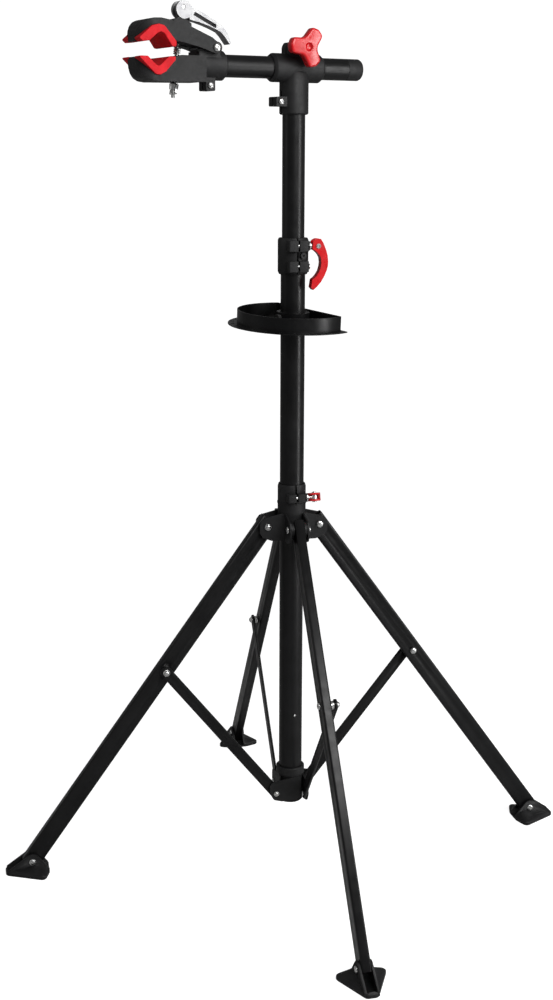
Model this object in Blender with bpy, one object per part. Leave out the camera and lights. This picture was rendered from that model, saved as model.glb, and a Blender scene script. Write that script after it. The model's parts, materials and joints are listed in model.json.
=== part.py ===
"""Four-legged folding repair stand with a telescopic mast, a tool tray and a turning clamp head.

Frame: origin on the floor under the mast axis, +Z up, one leg on each of -X, -Y, +X and +Y.
All dimensions below are in millimetres; meshes are scaled to metres as they are placed.
"""

import math

import bmesh
import bpy
from mathutils import Matrix, Vector

MM = 0.001
UP = Vector((0, 0, 1))
ACROSS = Matrix.Rotation(math.radians(-90), 4, "X")
FLIP = Matrix.Rotation(math.radians(180), 4, "X")

# Mast
MAIN_R = 19.0
MAIN_BORE = 17.85
MAIN_FOOT_Z = 86.0
MAIN_TOP_Z = 1002.0
UPPER_R = 17.3
UPPER_BORE = 15.9
UPPER_FOOT_Z = 440.0
UPPER_TOP_Z = 1240.0

# Leg linkage, as radius from the mast axis and height above the floor
LEG_AZIMUTHS = (180, 270, 0, 90)
HUB_PIVOT = (42.6, 561.6)
BRACKET_PIVOT = (29.0, 102.0)
LEG_ANGLE = math.radians(35.84)
LEG_LENGTH = 666.8
STRUT_JOINT = 285.4
LEG_DEPTH = 30.0
LEG_WIDTH = 15.0
LEG_WALL = 1.5
LEG_TOP = 11.0
LEG_TAIL = 6.0
STRUT_WIDTH = 18.0
STRUT_THICK = 3.5
STRUT_OFFSET = 16.75
FOOT_HEIGHT = 21.0

# Leg hub and bottom bracket
HUB_R = 22.5
HUB_BORE = 19.9
HUB_FOOT_Z = 536.0
HUB_TOP_Z = 628.0
HUB_PLATE = 13.2
HUB_PLATE_THICK = 2.5
HUB_BOLT_Z = 609.0
BRACKET_R = 21.0
BRACKET_RIM_R = 23.3
BRACKET_TOP_Z = 144.0
BRACKET_PLATE = 19.2
BRACKET_PLATE_THICK = 2.6

# Upper collar
COLLAR_R = 23.6
COLLAR_FOOT_Z = 959.0
COLLAR_TOP_Z = 1014.0
COLLAR_BOLT_Z = 1003.0
COLLAR_SCREW_Z = 972.0
SLIT_AZIMUTH = 273.8
SLIT_BOLT_R = 26.6
LEVER_REACH = 30.0
HUB_LEVER_REACH = 29.0
HUB_LEVER_HANG = 76.0

# Tool tray
TRAY_Z = 880.0
TRAY_AZIMUTH = 23.0
TRAY_TILT = math.radians(2.6)
TRAY_TILT_AZIMUTH = -59.0
TRAY_RING_R = 87.0
TRAY_FLANGE_R = 101.0
TRAY_CHORD = 31.0
TRAY_WALL = 23.0

# Head: x along the arm, y to its near side, z up from the arm axis
ARM_Z = 1263.0
ARM_AZIMUTH = 195.8
ARM_R = 16.0
TEE_R = 20.8
TEE_SLEEVE_R = 22.0
TEE_FOOT = -67.0
KNOB_Z = 28.2
KNOB_R = 30.0
JAW_HALF = 28.0
PAD_HALF = 31.0
JAW_PIVOT = (142.6, 23.4)
CAM_PIN = (185.7, 77.7)
ROD_FOOT = (200.3, -46.0)

GAP = 0.35
BOLT_HOLE_R = 3.7
LEG_TOP_HOLE_R = 4.5
HUB_GAP = 0.9
ROUND_STEPS = 26

BLACK_COAT = ((0.012, 0.012, 0.013), 0.45, 0.0)
BLACK_PLASTIC = ((0.018, 0.018, 0.02), 0.6, 0.0)
RED_PLASTIC = ((0.72, 0.012, 0.02), 0.35, 0.0)
RED_RUBBER = ((0.68, 0.02, 0.03), 0.65, 0.0)
ZINC = ((0.62, 0.62, 0.62), 0.3, 1.0)
ALUMINIUM = ((0.75, 0.75, 0.76), 0.35, 1.0)


# Outlines and frames


def arc(cx, cy, radius, start, end, steps):
    """Points on an arc, angles in degrees."""
    angles = [math.radians(start + (end - start) * i / steps) for i in range(steps + 1)]
    return [(cx + radius * math.cos(a), cy + radius * math.sin(a)) for a in angles]


def circle(cx, cy, radius, steps):
    return arc(cx, cy, radius, 0, 360, steps)[:-1]


def rounded(points, radii, steps=2):
    """The closed polygon with each corner rounded. radii is one number or one per corner."""
    if not isinstance(radii, (list, tuple)):
        radii = [radii] * len(points)
    out = []
    for i, corner in enumerate(points):
        here = Vector(corner)
        back = Vector(points[i - 1]) - here
        ahead = Vector(points[(i + 1) % len(points)]) - here
        half = back.angle(ahead) / 2
        reach = min(radii[i] / math.tan(half), 0.48 * back.length, 0.48 * ahead.length)
        if reach < 0.05:
            out.append(tuple(here))
            continue
        centre = here + (back.normalized() + ahead.normalized()).normalized() * reach / math.cos(half)
        first = here + back.normalized() * reach - centre
        last = here + ahead.normalized() * reach - centre
        turn = first.angle_signed(last)
        for j in range(steps + 1):
            spoke = first.copy()
            spoke.rotate(Matrix.Rotation(-turn * j / steps, 2))
            out.append(tuple(centre + spoke))
    return out


def area(points):
    return sum(a[0] * b[1] - b[0] * a[1] for a, b in zip(points, points[1:] + points[:1])) / 2


def offset(points, distance):
    """The closed polygon moved outwards by distance, corner by corner."""
    if area(points) < 0:
        points = points[::-1]
    out = []
    for i, corner in enumerate(points):
        here = Vector(corner)
        back = (here - Vector(points[i - 1])).normalized()
        ahead = (Vector(points[(i + 1) % len(points)]) - here).normalized()
        out_back = Vector((back.y, -back.x))
        out_ahead = Vector((ahead.y, -ahead.x))
        mitre = (out_back + out_ahead).normalized()
        out.append(tuple(here + mitre * distance / max(0.4, mitre.dot(out_back))))
    return out


def axes(origin, x, y):
    """The frame at origin whose x and y axes are those given."""
    x = Vector(x).normalized()
    z = x.cross(Vector(y)).normalized()
    y = z.cross(x)
    matrix = Matrix((x, y, z)).transposed().to_4x4()
    matrix.translation = Vector(origin)
    return matrix


def side(y=0.0):
    """The frame for an outline drawn in the XZ plane and extruded along +Y."""
    return Matrix(((1, 0, 0, 0), (0, 0, 1, y), (0, 1, 0, 0), (0, 0, 0, 1)))


def turn(degrees):
    return Matrix.Rotation(math.radians(degrees), 4, "Z")


# Solids, as bmeshes in millimetres


def closed(bm):
    bmesh.ops.recalc_face_normals(bm, faces=bm.faces)
    if bm.calc_volume(signed=True) < 0:
        bmesh.ops.reverse_faces(bm, faces=bm.faces)
    return bm


def prism(outline, low, high, frame=None):
    """The outline extruded from low to high along its frame's z."""
    bm = bmesh.new()
    rings = [[bm.verts.new((x, y, z)) for x, y in outline] for z in (low, high)]
    bm.faces.new(rings[0])
    bm.faces.new(rings[1])
    for i in range(len(outline)):
        bm.faces.new((rings[0][i - 1], rings[0][i], rings[1][i], rings[1][i - 1]))
    bm.transform(frame or Matrix())
    return closed(bm)


def loft(sections, frame=None):
    """A solid through closed rings of equal length, capped at both ends."""
    bm = bmesh.new()
    rings = [[bm.verts.new(point) for point in section] for section in sections]
    bm.faces.new(rings[0])
    bm.faces.new(rings[-1])
    for low, high in zip(rings, rings[1:]):
        for i in range(len(low)):
            bm.faces.new((low[i - 1], low[i], high[i], high[i - 1]))
    bm.transform(frame or Matrix())
    return closed(bm)


def turned(profile, steps, frame=None):
    """The closed (radius, height) profile turned about z. Points at radius 0 become poles."""
    bm = bmesh.new()
    spokes = [2 * math.pi * i / steps for i in range(steps)]
    rings = []
    for radius, height in profile:
        if radius == 0:
            rings.append([bm.verts.new((0, 0, height))] * steps)
        else:
            rings.append(
                [bm.verts.new((radius * math.cos(a), radius * math.sin(a), height)) for a in spokes]
            )
    for low, high in zip(rings, rings[1:] + rings[:1]):
        for i in range(steps):
            corners = [low[i - 1], low[i], high[i], high[i - 1]]
            corners = list(dict.fromkeys(corners))
            if len(corners) > 2:
                bm.faces.new(corners)
    bm.transform(frame or Matrix())
    return closed(bm)


def rod(radius, low, high, steps=12, frame=None):
    return turned([(0, low), (radius, low), (radius, high), (0, high)], steps, frame)


def block(low, high, frame=None):
    outline = [(low[0], low[1]), (high[0], low[1]), (high[0], high[1]), (low[0], high[1])]
    return prism(outline, low[2], high[2], frame)


# Objects


def helper(name, bm):
    """A bmesh as an object that stays out of the render."""
    mesh = bpy.data.meshes.new(name)
    bm.to_mesh(mesh)
    bm.free()
    obj = bpy.data.objects.new(name, mesh)
    bpy.context.scene.collection.objects.link(obj)
    obj.hide_render = True
    obj.display_type = "WIRE"
    return obj


def shaped(base, steps=()):
    """The mesh of base after each (operation, bmesh) step, in millimetres."""
    obj = helper("work", base)
    tools = []
    for operation, bm in steps:
        tool = helper("tool", bm)
        tools.append(tool)
        modifier = obj.modifiers.new(operation, "BOOLEAN")
        modifier.operation = operation
        modifier.solver = "EXACT"
        modifier.object = tool
    graph = bpy.context.evaluated_depsgraph_get()
    mesh = bpy.data.meshes.new_from_object(obj.evaluated_get(graph))
    for extra in [obj] + tools:
        data = extra.data
        bpy.data.objects.remove(extra)
        bpy.data.meshes.remove(data)
    return mesh


def add(bm):
    return ("UNION", bm)


def cut(bm):
    return ("DIFFERENCE", bm)


def keep(bm):
    return ("INTERSECT", bm)


def material(name, look):
    found = bpy.data.materials.get(name)
    if found:
        return found
    made = bpy.data.materials.new(name)
    made.use_nodes = True
    shader = made.node_tree.nodes["Principled BSDF"]
    colour, roughness, metallic = look
    shader.inputs["Base Color"].default_value = (*colour, 1)
    shader.inputs["Roughness"].default_value = roughness
    shader.inputs["Metallic"].default_value = metallic
    made.diffuse_color = (*colour, 1)
    return made


def place(name, mesh, slot, look, frame=None, pivot=(0, 0, 0)):
    """A node made of a millimetre mesh moved by frame, with its origin at pivot in the moved frame."""
    frame = frame or Matrix()
    data = mesh.copy()
    data.name = name
    where = frame @ Vector(pivot)
    data.transform(Matrix.Scale(MM, 4) @ Matrix.Translation(-where) @ frame)
    data.materials.clear()
    data.materials.append(material(slot, look))
    for face in data.polygons:
        face.use_smooth = True
    data.set_sharp_from_angle(angle=math.radians(32))
    obj = bpy.data.objects.new(name, data)
    obj.location = where * MM
    bpy.context.scene.collection.objects.link(obj)
    return obj


def fastener(head, head_r, shank_r, low, high, nut=0.0, nut_r=0.0, steps=8):
    """Profile of a bolt along z: its head ends at low, its nut starts at high."""
    profile = [(0, low - head), (head_r, low - head), (head_r, low)]
    profile += [(shank_r, low), (shank_r, high)]
    if nut:
        profile += [(nut_r, high), (nut_r, high + nut), (0, high + nut)]
    else:
        profile += [(0, high)]
    return turned(profile, steps)


# Mast


def main_tube():
    profile = [
        (MAIN_BORE, MAIN_FOOT_Z),
        (MAIN_R, MAIN_FOOT_Z),
        (MAIN_R, MAIN_TOP_Z),
        (MAIN_BORE, MAIN_TOP_Z),
    ]
    place("main_tube", shaped(turned(profile, ROUND_STEPS)), "coat_black", BLACK_COAT)


def mast_end_cap():
    plug = MAIN_BORE - GAP
    profile = [
        (0, 81.5),
        (14, 81.7),
        (19, 82.6),
        (21, 84.4),
        (21, MAIN_FOOT_Z - GAP),
        (plug, MAIN_FOOT_Z - GAP),
        (plug, 98),
        (0, 98),
    ]
    place("mast_end_cap", shaped(turned(profile, ROUND_STEPS)), "plastic_black", BLACK_PLASTIC)


def upper_tube():
    profile = [
        (UPPER_BORE, UPPER_FOOT_Z),
        (UPPER_R, UPPER_FOOT_Z),
        (UPPER_R, UPPER_TOP_Z),
        (UPPER_BORE, UPPER_TOP_Z),
    ]
    place("upper_tube", shaped(turned(profile, ROUND_STEPS)), "coat_black", BLACK_COAT)


def guide_bush():
    top = UPPER_FOOT_Z - GAP
    profile = [
        (12, top - 8),
        (17.4, top - 8),
        (17.4, top),
        (UPPER_BORE - GAP, top),
        (UPPER_BORE - GAP, top + 18),
        (12, top + 18),
    ]
    place("guide_bush", shaped(turned(profile, ROUND_STEPS)), "plastic_black", BLACK_PLASTIC)


# Legs: drawn along +X and turned to each azimuth


def leg_parts():
    outward = Vector((math.sin(LEG_ANGLE), 0, -math.cos(LEG_ANGLE)))
    across = Vector((math.cos(LEG_ANGLE), 0, math.sin(LEG_ANGLE)))
    hub = Vector((HUB_PIVOT[0], 0, HUB_PIVOT[1]))
    joint = hub + outward * STRUT_JOINT
    ankle = hub + outward * LEG_LENGTH
    bracket = Vector((BRACKET_PIVOT[0], 0, BRACKET_PIVOT[1]))
    along_leg = axes(hub, across, (0, 1, 0))
    if along_leg.to_3x3().col[2].dot(outward) < 0:
        along_leg = axes(hub, across, (0, -1, 0))

    half_d = LEG_DEPTH / 2
    half_w = LEG_WIDTH / 2

    def section(inset, radius):
        x = half_d - inset
        y = half_w - inset
        return rounded([(-x, -y), (x, -y), (x, y), (-x, y)], radius, 1)

    tube = prism(section(0, 3), -LEG_TOP, LEG_LENGTH + LEG_TAIL, along_leg)
    steps = [cut(prism(section(LEG_WALL, 1.2), -LEG_TOP - 9, LEG_LENGTH + LEG_TAIL + 9, along_leg))]
    for point, radius in ((hub, LEG_TOP_HOLE_R), (joint, BOLT_HOLE_R), (ankle, BOLT_HOLE_R)):
        steps.append(cut(rod(radius, -20, 20, 8, Matrix.Translation(point) @ ACROSS)))
    leg = shaped(tube, steps)

    span = joint - bracket
    near = STRUT_OFFSET - STRUT_THICK / 2
    far = STRUT_OFFSET + STRUT_THICK / 2
    r = STRUT_WIDTH / 2
    stadium = arc(0, 0, r, 90, 270, 6) + arc(span.length, 0, r, -90, 90, 6)
    bar = prism(stadium, -far, -near, axes(bracket, span, span.cross((0, 1, 0))))
    steps = []
    for point in (bracket, joint):
        steps.append(cut(rod(BOLT_HOLE_R, -30, 30, 8, Matrix.Translation(point) @ ACROSS)))
    strut = shaped(bar, steps)

    hub_bolt_out = HUB_PLATE + HUB_PLATE_THICK + GAP
    hub_bolt = shaped(fastener(3.6, 5.8, 3, -hub_bolt_out, hub_bolt_out, 5, 5.4))
    joint_profile = [(0, -12), (5.7, -12), (5.7, -half_w - GAP), (3, -half_w - GAP)]
    joint_profile += [(3, half_w + GAP), (6.5, half_w + GAP), (6.5, near - GAP), (3, near - GAP)]
    joint_profile += [(3, far + GAP), (5.6, far + GAP), (5.6, far + 5.5), (0, far + 5.5)]
    joint_bolt = shaped(turned(joint_profile, 8))
    ankle_bolt = shaped(fastener(3, 5.6, 3, -11.4, 11.4, 3, 5.4))
    plate = BRACKET_PLATE + BRACKET_PLATE_THICK
    pin = shaped(fastener(2.6, 4.4, 3, near - GAP, plate + GAP, 2.6, 4.4))

    for number, azimuth in enumerate(LEG_AZIMUTHS, 1):
        frame = turn(azimuth)
        place(f"leg_{number}", leg, "coat_black", BLACK_COAT, frame, joint)
        place(f"strut_{number}", strut, "coat_black", BLACK_COAT, frame, bracket)
        for name, mesh, point in (
            ("hub_bolt", hub_bolt, hub),
            ("strut_bolt", joint_bolt, joint),
            ("foot_bolt", ankle_bolt, ankle),
            ("strut_pin", pin, bracket),
        ):
            axis = frame @ Matrix.Translation(point) @ ACROSS
            place(f"{name}_{number}", mesh, "zinc", ZINC, axis)
    feet(ankle)


def feet(ankle):
    """Each pad is wide towards the mast and narrows to a nose; its two cheeks hold the leg."""
    sole = -FOOT_HEIGHT
    plan = [(43, 9), (-18, 40), (-27, 14), (-27, -14), (-18, -40), (43, -9)]
    edge = rounded(plan, [6, 6, 0, 0, 6, 6])
    top = [(x * 0.86 - 1, y * 0.62) for x, y in edge]
    base = loft(
        [
            [(x, y, sole) for x, y in edge],
            [(x, y, sole + 6.5) for x, y in edge],
            [(x, y, sole + 10) for x, y in top],
        ]
    )
    cheek = [(-25, sole + 2), (41, sole + 2), (41, -13)] + arc(0, 0, 12.5, 50, 150, 7) + [(-24, -11)]
    steps = []
    for low in (-11.1, 7.9):
        steps.append(add(prism(cheek, low, low + 3.2, side())))
    channel = [(-40, -17.8), (35, -17.8), (39.5, -13.5), (44, 20), (-40, 20)]
    steps.append(cut(prism(channel, -7.9, 7.9, side())))
    steps.append(cut(rod(BOLT_HOLE_R, -20, 20, 8, ACROSS)))
    mesh = shaped(base, steps)
    for number, azimuth in enumerate(LEG_AZIMUTHS, 1):
        frame = turn(azimuth) @ Matrix.Translation(ankle)
        place(f"foot_{number}", mesh, "plastic_black", BLACK_PLASTIC, frame)


# Hub and bottom bracket


def slit_frame(height):
    """x runs outwards along the slit, y across it and z up."""
    return turn(SLIT_AZIMUTH) @ Matrix.Translation((0, 0, height))


def leg_hub():
    profile = [
        (HUB_BORE, HUB_FOOT_Z),
        (HUB_R, HUB_FOOT_Z),
        (HUB_R, HUB_TOP_Z - 4),
        (HUB_R - 1.2, HUB_TOP_Z),
        (HUB_BORE, HUB_TOP_Z),
    ]
    plate = [(10, 538), (36, 538), (50, 543), (55.5, 551)]
    plate += [(55.5, 567), (50, 574.5), (21, 581.5), (10, 581.5)]
    plate = rounded(plate, [0, 0, 5, 6, 6, 3, 0, 0], 1)
    inner = HUB_PLATE
    outer = HUB_PLATE + HUB_PLATE_THICK
    face = LEG_WIDTH / 2 + HUB_GAP
    near = inner + 1
    bend = [(near, near), (outer + 9, near), (outer + 9, outer - 0.5)]
    bend += arc(outer + 7.5, outer + 7.5, 8, 270, 180, 3) + [(outer - 0.5, outer + 9), (near, outer + 9)]
    steps = []
    for azimuth in LEG_AZIMUTHS:
        steps.append(add(prism(bend, 538.6, 579, turn(azimuth))))
        steps.append(add(prism(plate, inner, outer, turn(azimuth) @ side())))
        steps.append(add(prism(plate, -outer, -inner, turn(azimuth) @ side())))
        pivot = turn(azimuth) @ Matrix.Translation((HUB_PIVOT[0], 0, HUB_PIVOT[1]))
        pivot = pivot @ ACROSS
        for low, high in ((-inner - 0.5, -face), (face, inner + 0.5)):
            steps.append(add(rod(12, low, high, 10, pivot)))
    lug = rounded([(18, 1.2), (31, 1.2), (31, 15), (18, 15)], [0, 1, 2, 0], 2)
    for sign in (-1, 1):
        outline = [(x, sign * y) for x, y in lug]
        steps.append(add(prism(outline, -6.5, 6.5, slit_frame(HUB_BOLT_Z))))
    steps.append(cut(block((10, -1.5, -14), (40, 1.5, 30), slit_frame(HUB_BOLT_Z))))
    bolt = slit_frame(HUB_BOLT_Z) @ Matrix.Translation((SLIT_BOLT_R, 0, 0))
    steps.append(cut(rod(BOLT_HOLE_R, -9.6, 30, 8, bolt @ ACROSS)))
    bore = [(0, 500), (HUB_BORE, 500), (HUB_BORE, 700), (0, 700)]
    steps.append(cut(turned(bore, ROUND_STEPS)))
    for azimuth in LEG_AZIMUTHS:
        pivot = turn(azimuth) @ Matrix.Translation((HUB_PIVOT[0], 0, HUB_PIVOT[1]))
        pivot = pivot @ ACROSS
        steps.append(cut(rod(BOLT_HOLE_R, -30, 30, 8, pivot)))
    place("leg_hub", shaped(turned(profile, ROUND_STEPS), steps), "plastic_black", BLACK_PLASTIC)


def bottom_bracket():
    """A sleeve at the foot of the mast with a rim, and beside it a flat plate for each strut."""
    bore = MAIN_R + GAP
    profile = [
        (bore, MAIN_FOOT_Z + 0.5),
        (BRACKET_R - 1, MAIN_FOOT_Z + 0.5),
        (BRACKET_R, MAIN_FOOT_Z + 1.5),
        (BRACKET_R, BRACKET_TOP_Z - 16),
        (BRACKET_RIM_R, BRACKET_TOP_Z - 13),
        (BRACKET_RIM_R, BRACKET_TOP_Z - 1),
        (BRACKET_RIM_R - 1, BRACKET_TOP_Z),
        (bore, BRACKET_TOP_Z),
    ]
    plate = [(-13.5, 93), (-7, 87.2), (20, 87.2), (33, 91), (40, 103), (40, 117), (36, 121.5)]
    plate = rounded(plate + [(-13.5, 131)], [4, 4, 4, 5, 4, 3, 3, 0], 1)
    steps = []
    for azimuth in LEG_AZIMUTHS:
        frame = turn(azimuth)
        outer = BRACKET_PLATE + BRACKET_PLATE_THICK
        steps.append(add(prism(plate, BRACKET_PLATE, outer, frame @ side())))
    for azimuth in LEG_AZIMUTHS:
        pivot = turn(azimuth) @ Matrix.Translation((BRACKET_PIVOT[0], 0, BRACKET_PIVOT[1]))
        steps.append(cut(rod(BOLT_HOLE_R, 10, 30, 8, pivot @ ACROSS)))
    steps.append(cut(rod(bore, 60, 160, ROUND_STEPS)))
    place("bottom_bracket", shaped(turned(profile, ROUND_STEPS), steps), "plastic_black", BLACK_PLASTIC)


# Upper collar and the two quick-release levers


def upper_collar():
    top_bore = UPPER_R + GAP
    bore = MAIN_R + GAP
    step = MAIN_TOP_Z + 0.6
    profile = [
        (bore, COLLAR_FOOT_Z),
        (COLLAR_R - 2, COLLAR_FOOT_Z),
        (COLLAR_R, COLLAR_FOOT_Z + 4),
        (COLLAR_R, COLLAR_TOP_Z - 3),
        (COLLAR_R - 1.5, COLLAR_TOP_Z),
        (top_bore, COLLAR_TOP_Z),
        (top_bore, step),
        (bore, step),
    ]
    steps = []
    lug = rounded([(18, 0.6), (31.5, 0.6), (31.5, 16), (18, 16)], [0, 1, 2, 0], 2)
    for height in (COLLAR_BOLT_Z, COLLAR_SCREW_Z):
        for sign in (-1, 1):
            outline = [(x, sign * y) for x, y in lug]
            steps.append(add(prism(outline, -8, 8, slit_frame(height))))
    boss = turn(SLIT_AZIMUTH + 19) @ Matrix.Translation((20, 0, 988))
    boss = boss @ Matrix.Rotation(math.radians(90), 4, "Y")
    steps.append(add(rod(5, 0, 7.5, 12, boss)))
    steps.append(cut(rod(1.6, 5, 12, 6, boss)))
    for height in (COLLAR_BOLT_Z, COLLAR_SCREW_Z):
        bolt = slit_frame(height) @ Matrix.Translation((SLIT_BOLT_R, 0, 0)) @ ACROSS
        steps.append(cut(rod(BOLT_HOLE_R, -9.6, 30, 8, bolt)))
    lower = [(0, COLLAR_FOOT_Z - 20), (bore, COLLAR_FOOT_Z - 20), (bore, step), (0, step)]
    steps.append(cut(turned(lower, ROUND_STEPS)))
    steps.append(cut(block((8, -1.3, -60), (40, 1.3, 40), slit_frame(COLLAR_BOLT_Z))))
    place("upper_collar", shaped(turned(profile, ROUND_STEPS), steps), "plastic_black", BLACK_PLASTIC)

    bolt = slit_frame(COLLAR_SCREW_Z) @ Matrix.Translation((SLIT_BOLT_R, 0, 0)) @ ACROSS
    place("collar_screw", shaped(fastener(2.2, 4.6, 3, -16.4, 9)), "zinc", ZINC, bolt @ FLIP)


LEVER = [
    (-8.7, 7.4),
    (-6.3, 9.6),
    (-1.8, 11.4),
    (4, 10.6),
    (10, -0.6),
    (14.7, -13.4),
    (16, -23.6),
    (14, -36.4),
    (4.7, -54.3),
    (-7.8, -66.6),
    (-11.4, -62.6),
    (-9.5, -50.5),
    (-2, -44),
    (4, -31.3),
    (4, -18.5),
    (-2, -9.6),
    (-9.6, -4.8),
]


def quick_release(name, height, reach, hang, half):
    """The clamp bolt with its cross barrel, and the lever on it; hang turns the lever about the bolt."""
    frame = slit_frame(height) @ Matrix.Translation((SLIT_BOLT_R, 0, 0))
    shank = [(0, -9), (3, -9), (3, half + GAP), (7, half + GAP), (7, half + 2), (3, half + 2)]
    shank += [(3, reach), (0, reach)]
    bolt = turned(shank, 8, ACROSS)
    pin = axes((0, reach, 0), (0, 1, 0), (0, 0, 1))
    about = Matrix.Rotation(math.radians(hang), 4, "Y")
    steps = [add(rod(5, -3, 3, 12, about @ pin)), add(rod(2, -8, 8, 8, about @ pin))]
    place(f"{name}_bolt", shaped(bolt, steps), "zinc", ZINC, frame)

    slot = prism([(-14, -9), (6.2, -9), (6.2, 1), (14, 14), (-14, 16)], -3.4, 3.4, pin)
    steps = [cut(slot), cut(rod(2.6, -12, 12, 8, pin))]
    mesh = shaped(prism(LEVER, -6.5, 6.5, pin), steps)
    place(f"{name}_lever", mesh, "plastic_red", RED_PLASTIC, frame @ about, (0, reach, 0))


# Tray


def d_outline(radius, chord, steps, corner=0.0):
    """A disc cut by the line x = chord."""
    start = math.degrees(math.acos(chord / radius))
    points = arc(0, 0, radius, start, 360 - start, steps)
    if not corner:
        return points
    return rounded(points, [corner] + [0] * (len(points) - 2) + [corner])


def tool_tray():
    lean = Matrix.Rotation(math.radians(TRAY_TILT_AZIMUTH - TRAY_AZIMUTH), 4, "Z")
    lean = lean @ Matrix.Rotation(TRAY_TILT, 4, "Y") @ lean.inverted()
    frame = Matrix.Translation((0, 0, TRAY_Z)) @ turn(TRAY_AZIMUTH) @ lean
    flange = prism(d_outline(TRAY_FLANGE_R, TRAY_CHORD + 2, 30, 4), 0, 1.6)
    ring = prism(d_outline(TRAY_RING_R, TRAY_CHORD, 30, 5), 0.8, TRAY_WALL)
    inside = prism(d_outline(TRAY_RING_R - 1.8, TRAY_CHORD - 1.8, 30, 3), 1.7, TRAY_WALL + 9)
    steps = [add(ring), cut(inside), add(rod(25.5, 0.7, TRAY_WALL - 2, 20))]
    upright = (turn(TRAY_AZIMUTH) @ lean).inverted()
    steps.append(cut(rod(MAIN_R + 0.6, -9, TRAY_WALL + 9, ROUND_STEPS, upright)))
    for i in range(13):
        spoke = math.radians(96 + 14 * i)
        spot = Matrix.Translation((94.2 * math.cos(spoke), 94.2 * math.sin(spoke), 0))
        steps.append(cut(rod(3, -4, 6, 6, spot)))
    screw = Matrix.Rotation(math.radians(180), 4, "Z") @ Matrix.Translation((0, 0, 12))
    screw = screw @ Matrix.Rotation(math.radians(90), 4, "Y")
    steps.append(cut(rod(3.1, 10, 30, 8, screw)))
    place("tool_tray", shaped(flange, steps), "coat_black", BLACK_COAT, frame)

    profile = [(0, 20.2), (2.5, 20.2), (2.5, 26), (6.5, 26), (6.5, 31), (5.5, 32), (0, 32)]
    place("tray_screw", shaped(turned(profile, 8)), "plastic_black", BLACK_PLASTIC, frame @ screw)


# Head


def head_frame():
    return Matrix.Translation((0, 0, ARM_Z)) @ turn(ARM_AZIMUTH)


def along_arm():
    """z of this frame runs along the arm."""
    return Matrix.Rotation(math.radians(90), 4, "Y")


def across_arm(x, z):
    """z of this frame runs across the arm, to its near side."""
    return Matrix.Translation((x, 0, z)) @ ACROSS


def head_tee():
    bore = ARM_R + GAP
    barrel = [(0, -44), (TEE_R - 3, -44), (TEE_R, -40), (TEE_R, 38), (TEE_R - 3, 42), (0, 42)]
    stem = [(0, TEE_FOOT), (TEE_SLEEVE_R - 2, TEE_FOOT), (TEE_SLEEVE_R, TEE_FOOT + 2)]
    stem += [(TEE_SLEEVE_R, -8), (13.1, 7.3), (0, 7.3)]
    steps = [add(turned(stem, ROUND_STEPS, turn(2)))]
    ear = rounded([(-14, 10), (14, 10), (14, 30), (10, 37), (-10, 37), (-14, 30)], [0, 0, 3, 3, 3, 3])
    lug = rounded([(15, -55.5), (36.5, -55.5), (36.5, -41.5), (15, -41.5)], [0, 2, 2, 0])
    for sign in (-1, 1):
        low, high = sorted((sign * 0.5, sign * 13.5))
        steps.append(add(prism(ear, low, high, side())))
        low, high = sorted((sign * 0.5, sign * 12))
        steps.append(add(prism(lug, low, high, side())))
    steps.append(cut(rod(bore, -60, 60, ROUND_STEPS, along_arm())))
    socket_r = UPPER_R + 0.5
    socket = [(0, TEE_FOOT - 9), (socket_r, TEE_FOOT - 9), (socket_r, -22.3), (0, -22.3)]
    steps.append(cut(turned(socket, ROUND_STEPS)))
    steps.append(cut(block((-60, -1.5, 5), (60, 1.5, 50))))
    steps.append(cut(block((5, -1.5, -90), (50, 1.5, -33))))
    steps.append(cut(rod(4.8, -30, 30, 8, across_arm(0, KNOB_Z))))
    steps.append(cut(rod(3.1, -30, 30, 8, across_arm(28.3, -48.5))))
    mesh = shaped(turned(barrel, ROUND_STEPS, along_arm()), steps)
    place("head_tee", mesh, "plastic_black", BLACK_PLASTIC, head_frame())

    mesh = shaped(fastener(3.2, 4.8, 2.5, -12.4, 12.4, 3, 4.8))
    place("tee_pinch_bolt", mesh, "zinc", ZINC, head_frame() @ across_arm(28.3, -48.5) @ FLIP)


def knob():
    lobes = []
    for i in range(3):
        for angle, radius in ((-22, 0.96), (0, 1), (22, 0.96), (60, 0.47)):
            spoke = math.radians(120 * i - 5 + angle)
            lobes.append((KNOB_R * radius * math.cos(spoke), KNOB_R * radius * math.sin(spoke)))
    outline = rounded(lobes, [6, 8, 6, 12] * 3, 3)
    small = [(x * 0.93, y * 0.93) for x, y in outline]
    sections = []
    for points, height in ((small, 30), (outline, 32), (outline, 42.5), (small, 44.5)):
        sections.append([(x, y, height) for x, y in points])
    steps = [add(turned([(0, 14.2), (9, 14.2), (10.5, 31), (0, 31)], 16))]
    steps.append(cut(rod(4.8, 5, 38.5, 8)))
    steps.append(cut(turned([(0, 40.8), (3.5, 41.2), (5.6, 45), (5.6, 48), (0, 48)], 12)))
    frame = head_frame() @ across_arm(0, KNOB_Z)
    place("knob", shaped(loft(sections), steps), "plastic_red", RED_PLASTIC, frame)

    mesh = shaped(fastener(4, 7, 4, -13.9, 38))
    place("knob_bolt", mesh, "zinc", ZINC, head_frame() @ across_arm(0, KNOB_Z))


def arm():
    wall = ARM_R - 1.5
    profile = [(wall, -88), (ARM_R, -88), (ARM_R, 160), (wall, 160)]
    mesh = shaped(turned(profile, ROUND_STEPS, along_arm()))
    place("arm_tube", mesh, "coat_black", BLACK_COAT, head_frame())
    profile = [(0, -115), (11, -115), (14.5, -113.5), (ARM_R, -110.5), (ARM_R, -88 - GAP)]
    profile += [(wall - GAP, -88 - GAP), (wall - GAP, -70), (0, -70)]
    mesh = shaped(turned(profile, ROUND_STEPS, along_arm()))
    place("arm_end_cap", mesh, "plastic_black", BLACK_PLASTIC, head_frame())


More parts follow.
